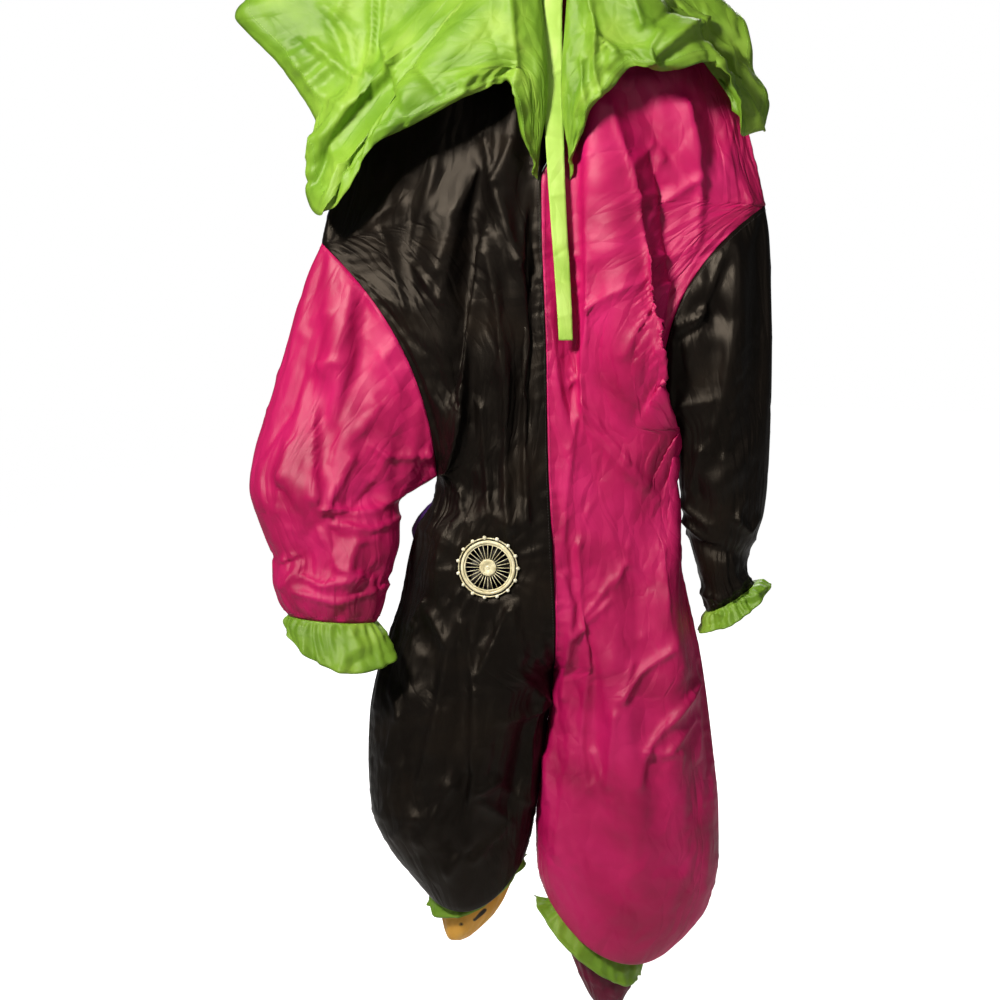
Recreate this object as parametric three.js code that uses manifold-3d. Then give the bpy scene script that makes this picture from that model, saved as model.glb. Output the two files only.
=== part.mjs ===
// An inflatable clown costume, hanging limp and hollow from its neck. Millimetres, +Z up, front towards -Y.
// The origin is the middle of the neck opening. +X is the wearer's left side.
import * as THREE from 'three';
import { mergeVertices } from 'three/addons/utils/BufferGeometryUtils.js';
import Module from 'manifold-3d';

const wasm = await Module();
wasm.setup();

// Cloth and seams
const CLOTH = 2;
const SEAM = 0.3;
const HALF_SEAM = SEAM / 2;
const LEG_GAP = 1;
// The centre back seam's place across the suit
const BACK_X = 5;

// The suit's armholes: the seam runs from the shoulder tip to the underarm and bows towards the chest
const ARMHOLE_STEPS = 10;
const ARMHOLE_DEPTH = 60;
const ARMHOLE_LEAN = 30;
const ARMHOLES = {
  right: { tip: [-345, -442], underarm: [-171, -797], bow: 42, towards: 1 },
  left: { tip: [328, -385], underarm: [176, -718], bow: 60, towards: -1 },
};

// The fan in the right front, on a flat patch of cloth
const FAN = { x: -92, y: -78, z: -929, turn: 8, hole: 41.2, flat: 82, fade: 135 };

// Turns a table with named columns into a list of records
function table(columns, rows) {
  return rows.map((row) => Object.fromEntries(columns.map((name, i) => [name, row[i]])));
}

// Sections of the body from the neck to the shoulder tips: centre line, slit edges, half depths and shoulder line
const SHOULDER_ROWS = table(
  ['z', 'slitRight', 'slitLeft', 'front', 'back', 'rightX', 'rightZ', 'leftX', 'leftZ'],
  [
    [-30, -16, 27, 58, 58, -84, -16, 80, -16],
    [-75, -16, 27, 62, 60, -149, -64, 150, -53],
    [-130, -15, 26, 65, 62, -216, -133, 210, -96],
    [-190, -15, 25, 68, 63, -270, -206, 259, -158],
    [-245, -14, 23, 70, 64, -303, -273, 288, -229],
    [-300, -13.5, 16, 72, 65, -326, -362, 308, -303],
  ],
);

// The centre seam from the slit's end to the crotch: where it is, and the half depths there
const CENTRE_ROWS = table(
  ['z', 'x', 'front', 'back'],
  [
    [-353, -13, 74, 66],
    [-430, -12, 76, 67],
    [-503, -9, 77, 68],
    [-600, -5, 78, 69],
    [-705, -3, 77, 70],
    [-745, -2, 76, 70],
  ],
);

// Sections below the underarm. open is 1 where the front and back are parted at the centre and 0 in a leg.
// droop is how far the balloon leg sags below its own section line.
const LEG_COLUMNS = ['sideX', 'sideZ', 'innerX', 'innerZ', 'front', 'back', 'open', 'droop'];
const RIGHT_LEG = table(LEG_COLUMNS, [
  [-177, -835, 0, -800, 77, 71, 1, 0],
  [-203, -880, 3, -860, 78, 72, 1, 0],
  [-217, -930, 6, -920, 80, 74, 1, 0],
  [-227, -985, 9, -975, 82, 76, 1, 0],
  [-246, -1045, 11, -1025, 83, 78, 0.93, 0],
  [-266, -1105, 11, -1068, 84, 80, 0.7, 0],
  [-279, -1175, 9, -1115, 85, 80, 0, 0],
  [-282, -1250, 0, -1195, 88, 84, 0, 4],
  [-278, -1325, -10, -1275, 90, 86, 0, 9],
  [-261, -1388, -20, -1345, 86, 84, 0, 19],
  [-231, -1434, -28, -1384, 76, 74, 0, 34],
  [-197, -1459, -33, -1399, 62, 60, 0, 43],
  [-176, -1462, -42, -1405, 36, 36, 0, 0],
]);
const LEFT_LEG = table(LEG_COLUMNS, [
  [179, -768, 0, -800, 77, 71, 1, 0],
  [184, -828, 3, -860, 78, 72, 1, 0],
  [196, -885, 6, -920, 80, 74, 1, 0],
  [210, -950, 9, -975, 82, 76, 1, 0],
  [226, -1018, 11, -1025, 83, 78, 0.93, 0],
  [241, -1085, 11, -1068, 84, 80, 0.7, 0],
  [252, -1155, 9, -1115, 85, 80, 0, 0],
  [263, -1240, 0, -1195, 88, 84, 0, 4],
  [272, -1325, -10, -1275, 92, 88, 0, 8],
  [274, -1408, -17, -1350, 92, 88, 0, 20],
  [260, -1480, -15, -1415, 84, 80, 0, 40],
  [208, -1541, -4, -1460, 66, 62, 0, 56],
  [156, -1573, 10, -1480, 36, 36, 0, 0],
]);
// The back of a leg sags this much of what its front does
const BACK_DROOP = 0.7;
// How the sections are stepped through: a front has more of them round the fan than a back needs
const FRONT_STEPS = [1, 1.5, 2, 2.5, 3, 3.5, 4, 5, 6, 7, 8, 9, 10, 10.6, 11.2, 12, 13];
const BACK_STEPS = [1, 2, 3, 4, 5, 6, 7, 8.5, 10, 11, 12, 13];
const FRONT_COLUMNS = 14;
const BACK_COLUMNS = 7;
// Folds die out over this share of a panel's width at its seams
const EDGE_FADE = 0.14;

// The largest folds of each panel: a ridge or trough from one point to another, with its half width and height
const FOLD_COLUMNS = ['x1', 'z1', 'x2', 'z2', 'width', 'height'];
const FRONT_RIGHT_FOLDS = table(FOLD_COLUMNS, [
  [-92, -250, -60, -780, 24, 15],
  [-128, -270, -112, -760, 20, -14],
  [-45, -380, -25, -820, 16, -12],
  [-175, -300, -150, -700, 26, 13],
  [-235, -300, -190, -560, 24, -10],
  [-62, -1010, -120, -1330, 34, 15],
  [-175, -1030, -215, -1330, 30, -13],
  [-210, -1080, -160, -1260, 26, 12],
  [-25, -1120, -70, -1360, 22, -12],
]);
const FRONT_LEFT_FOLDS = table(FOLD_COLUMNS, [
  [68, -235, 125, -760, 36, 24],
  [118, -235, 158, -590, 20, -19],
  [26, -400, 40, -780, 18, -15],
  [195, -190, 215, -350, 24, 13],
  [238, -200, 262, -330, 16, -10],
  [150, -860, 215, -1220, 36, 15],
  [70, -900, 62, -1300, 34, -12],
  [110, -1050, 140, -1400, 30, 12],
]);
const BACK_RIGHT_FOLDS = table(FOLD_COLUMNS, [
  [-70, -200, -60, -820, 36, 14],
  [-150, -300, -120, -760, 30, -12],
  [-200, -862, -212, -878, 16, 26],
  [-60, -1150, -110, -1340, 40, 14],
  [-190, -1080, -215, -1320, 34, -12],
]);
const BACK_LEFT_FOLDS = table(FOLD_COLUMNS, [
  [70, -200, 70, -800, 36, 14],
  [150, -300, 120, -720, 30, -12],
  [90, -1150, 120, -1400, 40, 14],
  [200, -1100, 215, -1360, 34, -12],
]);

// Sleeves: a ring for each section from the armhole to the wrist, from its outer to its inner edge
const SLEEVE_COLUMNS = ['outerX', 'outerZ', 'innerX', 'innerZ', 'depth', 'bow', 'y'];
const SLEEVE_RIGHT = table(SLEEVE_COLUMNS, [
  [-368, -490, -181, -803, 66, 38, 0],
  [-388, -550, -191, -808, 71, 33, 0],
  [-410, -622, -202, -812, 76, 27, -4],
  [-434, -700, -213, -817, 80, 20, -8],
  [-457, -770, -225, -824, 82, 12, -14],
  [-461, -812, -233, -838, 80, 5, -22],
  [-449, -852, -231, -866, 76, 0, -30],
  [-434, -888, -230, -894, 72, 0, -38],
  [-421, -920, -237, -924, 66, 0, -46],
  [-421, -948, -246, -956, 62, 0, -54],
  [-413, -980, -252, -988, 54, 0, -60],
  [-398, -1004, -262, -1014, 40, 0, -64],
]);
const SLEEVE_LEFT = table(SLEEVE_COLUMNS, [
  [336, -432, 184, -725, 63, 52, 0],
  [340, -500, 191, -733, 65, 42, 0],
  [343, -574, 197, -745, 66, 32, 0],
  [344, -655, 202, -764, 66, 22, 2],
  [343, -725, 206, -792, 64, 13, 4],
  [341, -795, 210, -826, 62, 6, 6],
  [336, -850, 215, -862, 60, 0, 8],
  [325, -888, 222, -895, 58, 0, 10],
  [313, -916, 230, -928, 54, 0, 10],
  [308, -938, 238, -962, 50, 0, 10],
  [314, -955, 244, -993, 45, 0, 10],
  [323, -968, 249, -1014, 38, 0, 10],
]);
const SLEEVE_FOLD_COLUMNS = ['x1', 'z1', 'x2', 'z2', 'width', 'height', 'side'];
const SLEEVE_RIGHT_FOLDS = table(SLEEVE_FOLD_COLUMNS, [
  [-330, -490, -300, -700, 30, 12, -1],
  [-355, -620, -345, -770, 26, -12, -1],
  [-420, -760, -330, -830, 24, 14, -1],
  [-240, -800, -330, -850, 20, -13, -1],
  [-300, -880, -310, -970, 18, 10, -1],
  [-370, -880, -365, -970, 18, -9, -1],
  [-300, -560, -290, -780, 34, 12, 1],
  [-400, -780, -300, -830, 24, -12, 1],
]);
const SLEEVE_LEFT_FOLDS = table(SLEEVE_FOLD_COLUMNS, [
  [290, -430, 280, -700, 26, 12, -1],
  [205, -520, 270, -560, 18, -11, -1],
  [300, -760, 235, -830, 22, 11, -1],
  [240, -900, 305, -920, 14, -8, -1],
  [270, -450, 270, -760, 30, 12, 1],
  [300, -800, 230, -850, 20, -10, 1],
]);

// Frills: rings below the wrist or ankle loop. wave is how far the gathers stand in and out.
const FRILL_COLUMNS = ['outerX', 'outerZ', 'innerX', 'innerZ', 'depth', 'droop', 'wave', 'y'];
const WRIST_RIGHT = table(FRILL_COLUMNS, [
  [-402, -1016, -252, -1030, 47, 10, 3, -66],
  [-392, -1038, -231, -1072, 58, 44, 8, -76],
]);
const WRIST_LEFT = table(FRILL_COLUMNS, [
  [334, -964, 244, -1024, 42, 3, 2.5, 10],
  [346, -976, 243, -1041, 48, 11, 6.5, 8],
]);
const ANKLE_RIGHT = table(FRILL_COLUMNS, [
  [-180, -1470, -34, -1408, 42, 16, 3, 0],
  [-179, -1484, -25, -1416, 52, 56, 7, 0],
]);
const ANKLE_LEFT = table(FRILL_COLUMNS, [
  [154, -1586, -4, -1477, 42, 10, 3, 0],
  [148, -1606, -22, -1470, 52, 34, 7, 0],
]);
const FRILL_STEPS = 36;
const FRILL_WAVES = 9;
// How the frill's droop gathers towards the middle of its front and back
const FRILL_SAG = 1.3;
const ANKLE_INSET = 1.2;

// Foot covers: limp pouches that hang from inside the ankle
const FOOT_COLUMNS = ['outerX', 'outerZ', 'innerX', 'innerZ', 'depth'];
const FOOT_RIGHT = table(FOOT_COLUMNS, [
  [-172, -1472, -48, -1418, 31],
  [-168, -1494, -56, -1446, 32],
  [-165, -1516, -67, -1476, 32],
  [-161, -1534, -84, -1503, 26],
  [-153, -1547, -104, -1525, 15],
]);
const FOOT_LEFT = table(FOOT_COLUMNS, [
  [150, -1582, 14, -1492, 31],
  [143, -1602, 24, -1526, 32],
  [132, -1628, 38, -1562, 32],
  [120, -1650, 54, -1602, 26],
  [106, -1664, 68, -1636, 15],
]);
const FOOT_STEPS = 12;

// The collar: rays from its root out to its hem, from the front slit round to the centre back. The root is at a
// height on the slit's edge, or where that is 0 at an angle round the neck from the wearer's left side.
const COLLAR_COLUMNS = ['slitZ', 'turn', 'hemX', 'hemY', 'hemZ'];
const COLLAR_RIGHT = table(COLLAR_COLUMNS, [
  [-349, 0, -27, -84, -340],
  [-298, 0, -47, -97, -284],
  [-205, 0, -76, -118, -200],
  [-105, 0, -139, -130, -232],
  [-38, 0, -231, -132, -272],
  [0, 110, -292, -118, -326],
  [0, 130, -342, -88, -396],
  [0, 148, -372, -56, -356],
  [0, 165, -352, -34, -272],
  [0, 180, -400, 4, -182],
  [0, 195, -478, 24, -92],
  [0, 210, -440, 72, -66],
  [0, 225, -345, 118, -118],
  [0, 240, -240, 138, -212],
  [0, 255, -118, 146, -276],
  [0, 270, 4.8, 140, -300],
]);
const COLLAR_LEFT = table(COLLAR_COLUMNS, [
  [-349, 0, 33, -84, -340],
  [-290, 0, 52, -97, -280],
  [-205, 0, 80, -112, -222],
  [-130, 0, 127, -124, -184],
  [-45, 0, 186, -124, -184],
  [0, 70, 246, -108, -172],
  [0, 50, 281, -80, -230],
  [0, 30, 300, -46, -272],
  [0, 15, 333, -8, -264],
  [0, 0, 337, 18, -225],
  [0, -15, 318, 34, -165],
  [0, -30, 300, 66, -96],
  [0, -45, 250, 112, -120],
  [0, -60, 190, 138, -206],
  [0, -75, 100, 146, -270],
  [0, -90, 5.2, 140, -300],
]);
const COLLAR_SLIT_X = { right: -18, left: 29 };
const COLLAR_FRACTIONS = [0, 0.28, 0.6, 0.86, 1];
const COLLAR_STEPS = 42;
const COLLAR_WAVES = 10;
const COLLAR_PUFF = 32;
const COLLAR_WAVE = 8;
const COLLAR_ROLL = [0, 0, 0, 9, -3];
// The collar's puff and gathers die out over this share of its length at the slit and the centre back
const COLLAR_FADE = 0.16;
// A height well below the collar, to tell its outer face from its inner one
const COLLAR_CENTRE_Z = -600;
const COLLAR_RISE = 8;
const COLLAR_LIFT = 0.9;
const NECKBAND_HEIGHT = 22;
const NECKBAND_TOP = -22;
// The band's top edge is this much more level than the neck edge below it
const NECKBAND_LEVEL = 0.6;
const NECKBAND_STEPS = 28;

// The tie: middle line and width of the ribbon, from the neckband down to its free end
const TIE = table(['x', 'y', 'z', 'width'], [
  [4, -58.5, -7, 30],
  [4, -59, -21, 30],
  [4, -62, -38, 30],
  [3, -70, -66, 30],
  [2, -80, -120, 29],
  [3, -84, -190, 29],
  [5, -86, -260, 28],
  [8, -87, -330, 26],
  [12, -88, -400, 24],
  [17, -89, -470, 23],
  [21, -88, -530, 22],
  [24, -87, -585, 21],
]);
const TIE_THICK = 1.2;
const TIE_STEPS = 18;

// The fan's own sizes, from its axis and from the front of the cloth
const BEZEL = { outer: 45.5, inner: 37, back: SEAM, front: 6.5, slope: 2, nubs: 15, nubRadius: 3.6, sides: 30 };
const GRILLE = { outer: 36.7, rim: 2.2, hub: 13, spokes: 24, spoke: 1.3, back: 2.2, front: 4, sides: 24 };
const HOUSING = { outer: 40.7, inner: 38.2, depth: 26, clampOuter: 46, clampThick: 2.5 };
const MOTOR = { radius: 12, back: -26, front: -15, struts: 3, strutWidth: 5, strutDepth: 4, bore: 2.6 };
const ROTOR = { hub: 11.5, back: -14.5, front: -4.5, blades: 5, reach: 35.5, blade: 2, pitch: 32, pin: 2.2 };
const PIN_END = -20;
const ROUND_SIDES = 28;

const clamp = (value, low, high) => Math.min(high, Math.max(low, value));
const mix = (a, b, t) => a + (b - a) * t;
const turns = (count) => Array.from({ length: count }, (_, k) => (2 * Math.PI * k) / count);

function smooth(value) {
  const t = clamp(value, 0, 1);
  return t * t * (3 - 2 * t);
}

// Catmull-Rom between the rows of a table
function rowAt(rows, position) {
  const last = rows.length - 1;
  const k = Math.min(Math.floor(position), last - 1);
  const t = position - k;
  const before = rows[Math.max(k - 1, 0)];
  const start = rows[k];
  const end = rows[k + 1];
  const after = rows[Math.min(k + 2, last)];
  const between = (name) => {
    const slopeStart = (end[name] - before[name]) / 2;
    const slopeEnd = (after[name] - start[name]) / 2;
    const rise = end[name] - start[name];
    return start[name] + t * (slopeStart + t * (3 * rise - 2 * slopeStart - slopeEnd
      + t * (slopeStart + slopeEnd - 2 * rise)));
  };
  return Object.fromEntries(Object.keys(start).map((name) => [name, between(name)]));
}

// The centre seam's place and depths at a height
function centreAt(z) {
  const k = clamp(CENTRE_ROWS.findIndex((row) => row.z <= z) - 1, 0, CENTRE_ROWS.length - 2);
  const span = CENTRE_ROWS[k].z - CENTRE_ROWS[k + 1].z;
  return rowAt(CENTRE_ROWS, k + (CENTRE_ROWS[k].z - z) / span);
}

// A point of the armhole seam, the direction along it and the way into the sleeve, at angle a from the tip
function armholeAt(hand, a) {
  const { tip, underarm, bow, towards } = ARMHOLES[hand];
  const chord = new THREE.Vector2(underarm[0] - tip[0], underarm[1] - tip[1]);
  const length = chord.length();
  const along = chord.clone().normalize();
  const across = new THREE.Vector2(-along.y, along.x).multiplyScalar(towards);
  const s = (1 - Math.cos(a)) / 2;
  const place = (t) => {
    const swell = bow * 4 * t * (1 - t);
    return new THREE.Vector2(tip[0], tip[1]).addScaledVector(chord, t).addScaledVector(across, swell);
  };
  const step = 0.01;
  const tangent = place(s + step).sub(place(s - step)).normalize();
  const out = new THREE.Vector2(tangent.y, -tangent.x).multiplyScalar(towards);
  return { at: place(s), tangent, out, half: length / 2 };
}

// A section of the suit between an inner and an outer edge: part of an ellipse with its depth on one side
function sectionPoint(section, t, side) {
  const depth = side < 0 ? section.front : section.back;
  const start = Math.asin(clamp(section.innerDepth / depth, HALF_SEAM / depth, 1));
  const end = Math.PI - Math.asin(clamp(section.outerDepth / depth, HALF_SEAM / depth, 1));
  const angle = mix(start, end, t);
  const reach = Math.cos(start) - Math.cos(end);
  const share = (Math.cos(start) - Math.cos(angle)) / reach;
  const inner = side < 0 ? section.innerFront : section.innerBack;
  const chord = new THREE.Vector3(section.outer[0] - inner[0], 0, section.outer[1] - inner[1]);
  const halfWidth = chord.length() / reach;
  const drop = section.droop * Math.sin(angle) * (side < 0 ? 1 : BACK_DROOP);
  const point = new THREE.Vector3(inner[0], 0, inner[1]).addScaledVector(chord, share);
  point.y = side * depth * Math.sin(angle);
  point.z -= drop;
  const out = chord.normalize().multiplyScalar(-depth * Math.cos(angle));
  out.y = side * halfWidth * Math.sin(angle);
  return { point, out: out.normalize() };
}

// All sections of one half of the body, from the neck to the ankle
function bodySections(hand, steps) {
  const sign = hand === 'right' ? -1 : 1;
  const sections = SHOULDER_ROWS.map((row) => ({
    innerFront: [hand === 'right' ? row.slitRight : row.slitLeft, row.z],
    innerBack: [BACK_X + sign * HALF_SEAM, row.z],
    outer: hand === 'right' ? [row.rightX, row.rightZ] : [row.leftX, row.leftZ],
    front: row.front,
    back: row.back,
    innerDepth: row.front,
    outerDepth: 0,
    open: 1,
    droop: 0,
  }));
  const top = CENTRE_ROWS[0].z;
  const bottom = CENTRE_ROWS[CENTRE_ROWS.length - 1].z;
  for (let k = 0; k <= ARMHOLE_STEPS; k += 1) {
    const angle = (Math.PI * k) / ARMHOLE_STEPS;
    const seam = armholeAt(hand, angle);
    const centre = centreAt(mix(top, bottom, k / ARMHOLE_STEPS));
    const x = centre.x + sign * HALF_SEAM;
    const edge = seam.at.clone().addScaledVector(seam.out, -HALF_SEAM);
    sections.push({
      innerFront: [x, centre.z],
      innerBack: [x, centre.z],
      outer: [edge.x, edge.y],
      front: centre.front,
      back: centre.back,
      innerDepth: centre.front,
      outerDepth: ARMHOLE_DEPTH * Math.sin(angle),
      open: 1,
      droop: 0,
      armhole: angle,
      seam,
    });
  }
  const centre = CENTRE_ROWS[CENTRE_ROWS.length - 1];
  const underarm = ARMHOLES[hand].underarm;
  const start = {
    sideX: underarm[0], sideZ: underarm[1], innerX: centre.x, innerZ: centre.z,
    front: centre.front, back: centre.back, open: 1, droop: 0,
  };
  const rows = [start, ...(hand === 'right' ? RIGHT_LEG : LEFT_LEG)];
  for (const step of steps) {
    const row = rowAt(rows, step);
    const open = row.open > 0.5 ? clamp(row.open, 0, 1) : 0;
    const gap = open > 0 ? HALF_SEAM : LEG_GAP / 2;
    const inner = [row.innerX + sign * gap, row.innerZ];
    sections.push({
      innerFront: inner,
      innerBack: inner,
      outer: [row.sideX, row.sideZ],
      front: row.front,
      back: row.back,
      innerDepth: open * row.front,
      outerDepth: 0,
      open,
      droop: Math.max(row.droop, 0),
    });
  }
  return sections;
}

// How high the folds stand at a place on a panel
function foldHeight(folds, x, z) {
  let height = 0;
  for (const fold of folds) {
    const dx = fold.x2 - fold.x1;
    const dz = fold.z2 - fold.z1;
    const t = clamp(((x - fold.x1) * dx + (z - fold.z1) * dz) / (dx * dx + dz * dz), 0, 1);
    const away = Math.hypot(x - fold.x1 - t * dx, z - fold.z1 - t * dz) / fold.width;
    height += fold.height * Math.exp(-away * away);
  }
  return height;
}

// The plane of the fan's patch: depth of the cloth's face there
const fanTurn = THREE.MathUtils.degToRad(FAN.turn);
function fanPlaneY(x) {
  return FAN.y - (x - FAN.x) * Math.tan(fanTurn);
}

function seatFan(point) {
  const away = Math.hypot(point.x - FAN.x, point.z - FAN.z);
  const share = 1 - smooth((away - FAN.flat) / (FAN.fade - FAN.flat));
  point.y = mix(point.y, fanPlaneY(point.x), share);
}

// Closes two facing grids of points into one solid wall. round joins the last column to the first,
// and a tip closes the last ring of both grids to a point.
function wall(outer, inner, { round = false, tip = null } = {}) {
  const rows = outer.length;
  const columns = outer[0].length;
  const points = [...outer.flat(), ...inner.flat()];
  const half = rows * columns;
  const faces = [];
  const quad = (a, b, c, d) => faces.push(a, b, c, a, c, d);
  const at = (i, j) => i * columns + (j % columns);
  const spans = round ? columns : columns - 1;
  for (let i = 0; i < rows - 1; i += 1) {
    for (let j = 0; j < spans; j += 1) {
      const [a, b, c, d] = [at(i, j), at(i, j + 1), at(i + 1, j + 1), at(i + 1, j)];
      quad(a, b, c, d);
      quad(a + half, d + half, c + half, b + half);
    }
  }
  for (let j = 0; j < spans; j += 1) {
    quad(at(0, j + 1), at(0, j), at(0, j) + half, at(0, j + 1) + half);
    if (!tip) {
      const low = rows - 1;
      quad(at(low, j), at(low, j + 1), at(low, j + 1) + half, at(low, j) + half);
    }
  }
  if (!round) {
    for (let i = 0; i < rows - 1; i += 1) {
      quad(at(i, 0), at(i + 1, 0), at(i + 1, 0) + half, at(i, 0) + half);
      const side = columns - 1;
      quad(at(i + 1, side), at(i, side), at(i, side) + half, at(i + 1, side) + half);
    }
  }
  if (tip) {
    points.push(tip.outer, tip.inner);
    for (let j = 0; j < spans; j += 1) {
      faces.push(at(rows - 1, j), at(rows - 1, j + 1), points.length - 2);
      faces.push(at(rows - 1, j + 1) + half, at(rows - 1, j) + half, points.length - 1);
    }
  }
  return outward(points, faces);
}

// A geometry from points and triangles, turned so that its faces point out
function outward(points, faces) {
  let volume = 0;
  for (let k = 0; k < faces.length; k += 3) {
    const [a, b, c] = [points[faces[k]], points[faces[k + 1]], points[faces[k + 2]]];
    volume += a.dot(b.clone().cross(c));
  }
  const geometry = new THREE.BufferGeometry().setFromPoints(points);
  geometry.setIndex(volume < 0 ? [...faces].reverse() : faces);
  return geometry;
}

// Inward directions over a grid of points, square to the cloth. outs are rough outward directions: they settle
// which of its two sides is the inner one.
function inwardOver(grid, outs, round) {
  const rows = grid.length;
  const columns = grid[0].length;
  const normals = grid.map((row, i) => row.map((point, j) => {
    const up = grid[Math.max(i - 1, 0)][j];
    const down = grid[Math.min(i + 1, rows - 1)][j];
    const before = round ? row[(j + columns - 1) % columns] : row[Math.max(j - 1, 0)];
    const after = round ? row[(j + 1) % columns] : row[Math.min(j + 1, columns - 1)];
    return down.clone().sub(up).cross(after.clone().sub(before)).normalize();
  }));
  const agreement = normals.flat().reduce((sum, normal, k) => sum + normal.dot(outs.flat()[k]), 0);
  if (agreement > 0) normals.flat().forEach((normal) => normal.negate());
  return normals;
}

const offset = (grid, inward, distance) => grid.map((row, i) => row.map((point, j) => (
  point.clone().addScaledVector(inward[i][j], distance))));

// One panel of the suit: the front or back of one half, with its leg
function panel(hand, side, columns, steps, folds) {
  const sections = bodySections(hand, steps);
  const cells = sections.map((section) => (
    Array.from({ length: columns + 1 }, (_, j) => sectionPoint(section, j / columns, side))));
  const hasFan = hand === 'right' && side < 0;
  const grid = cells.map((row, i) => row.map(({ point, out }, j) => {
    const t = j / columns;
    const fade = smooth(Math.min(t, 1 - t) / EDGE_FADE) * smooth(Math.min(i, sections.length - 1 - i) / 2);
    const moved = point.clone().addScaledVector(out, foldHeight(folds, point.x, point.z) * fade);
    if (hasFan) seatFan(moved);
    return moved;
  }));
  const inward = inwardOver(grid, cells.map((row) => row.map((cell) => cell.out)), false);
  sections.forEach((section, i) => {
    const centre = inward[i][0];
    if (section.open === 1) centre.x = 0;
    else centre.y *= section.open;
    centre.normalize();
    const last = inward[i][columns];
    if (section.armhole !== undefined) {
      const lean = ARMHOLE_DEPTH * Math.cos(section.armhole);
      last.set(section.seam.tangent.x * lean, -side * section.seam.half * Math.sin(section.armhole),
        section.seam.tangent.y * lean);
      last.x -= section.seam.out.x * ARMHOLE_LEAN;
      last.z -= section.seam.out.y * ARMHOLE_LEAN;
    } else {
      last.y = 0;
    }
    last.normalize();
  });
  return wall(grid, offset(grid, inward, CLOTH));
}

// A flat loop round a sleeve or ankle: angle 0 is its outer edge, and its front half comes first
function loopPoint(ring, angle) {
  const middle = new THREE.Vector3(
    (ring.outerX + ring.innerX) / 2,
    ring.y ?? 0,
    (ring.outerZ + ring.innerZ) / 2,
  );
  const half = new THREE.Vector3(ring.outerX, ring.y ?? 0, ring.outerZ).sub(middle);
  const width = half.length();
  const along = half.clone().normalize();
  const point = middle.clone().addScaledVector(half, Math.cos(angle));
  point.y -= ring.depth * Math.sin(angle);
  const out = along.clone().multiplyScalar(ring.depth * Math.cos(angle));
  out.y = -width * Math.sin(angle);
  return { point, out: out.normalize(), along };
}

// A tube of cloth through rings. keepEnd holds its last edge square to the loop, and closed ends it in a tip.
function tube(cells, options = {}) {
  const grid = cells.map((row) => row.map((cell) => cell.point));
  const inward = inwardOver(grid, cells.map((row) => row.map((cell) => cell.out)), true);
  const low = cells.length - 1;
  cells[0].forEach((cell, j) => inward[0][j].copy(cell.out).negate());
  if (options.keepEnd) cells[low].forEach((cell, j) => inward[low][j].copy(cell.out).negate());
  if (!options.closed) return wall(grid, offset(grid, inward, CLOTH), { round: true });
  const inside = offset(grid, inward, CLOTH);
  const middle = (points) => points.reduce((sum, p) => sum.add(p), new THREE.Vector3())
    .divideScalar(points.length);
  const tip = { outer: middle(grid[low]), inner: middle(inside[low]) };
  tip.outer.z -= CLOTH;
  tip.inner.z += CLOTH / 2;
  return wall(grid, inside, { round: true, tip });
}

function sleeve(hand, rings, folds) {
  const count = ARMHOLE_STEPS * 2;
  const { towards } = ARMHOLES[hand];
  const first = Array.from({ length: count }, (_, j) => {
    const angle = (Math.PI * j) / ARMHOLE_STEPS;
    const seam = armholeAt(hand, angle);
    const at = seam.at.clone().addScaledVector(seam.out, HALF_SEAM);
    const lean = -ARMHOLE_DEPTH * Math.cos(angle);
    const out = new THREE.Vector3(seam.tangent.x * lean, -seam.half * Math.sin(angle), seam.tangent.y * lean);
    return { point: new THREE.Vector3(at.x, -ARMHOLE_DEPTH * Math.sin(angle), at.y), out: out.normalize() };
  });
  const others = rings.map((ring, i) => Array.from({ length: count }, (_, j) => {
    const angle = (2 * Math.PI * j) / count;
    const { point, out, along } = loopPoint(ring, angle);
    const across = new THREE.Vector3(along.z, 0, -along.x).multiplyScalar(towards);
    point.addScaledVector(across, ring.bow * Math.sin(angle) ** 2);
    const side = angle > Math.PI ? 1 : -1;
    const near = folds.filter((fold) => fold.side === side);
    const fade = Math.min(1, Math.abs(Math.sin(angle)) * 2) * smooth((rings.length - 1 - i) / 2);
    point.addScaledVector(out, foldHeight(near, point.x, point.z) * fade);
    return { point, out };
  }));
  return tube([first, ...others], { keepEnd: true });
}

// Moves a loop along the limb, square to its own plane, and in or out round itself
function loopCells(ring, count, { down = 0, inset = 0, towards = 1 }) {
  return Array.from({ length: count }, (_, j) => {
    const cell = loopPoint(ring, (2 * Math.PI * j) / count);
    const away = new THREE.Vector3(cell.along.z, 0, -cell.along.x).multiplyScalar(towards);
    if (away.z > 0) away.negate();
    cell.point.addScaledVector(away, down).addScaledVector(cell.out, -inset);
    return cell;
  });
}

// A gathered frill that starts at a wrist or ankle loop
function frill(loop, rings, inset = 0) {
  const first = loopCells(loop, FRILL_STEPS, { down: SEAM, inset });
  const others = rings.map((ring) => Array.from({ length: FRILL_STEPS }, (_, j) => {
    const angle = (2 * Math.PI * j) / FRILL_STEPS;
    const cell = loopPoint(ring, angle);
    cell.point.z -= ring.droop * Math.abs(Math.sin(angle)) ** FRILL_SAG;
    cell.point.addScaledVector(cell.out, ring.wave * Math.cos(FRILL_WAVES * angle));
    return cell;
  }));
  return tube([first, ...others]);
}

// A limp foot cover whose edge sits inside the frill at the ankle loop
function footCover(loop, rings) {
  const first = loopCells(loop, FOOT_STEPS, { down: 2 * SEAM, inset: ANKLE_INSET + CLOTH + 2 * SEAM });
  const others = rings.map((ring) => (
    Array.from({ length: FOOT_STEPS }, (_, j) => loopPoint(ring, (2 * Math.PI * j) / FOOT_STEPS))));
  return tube([first, ...others], { closed: true });
}

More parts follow.
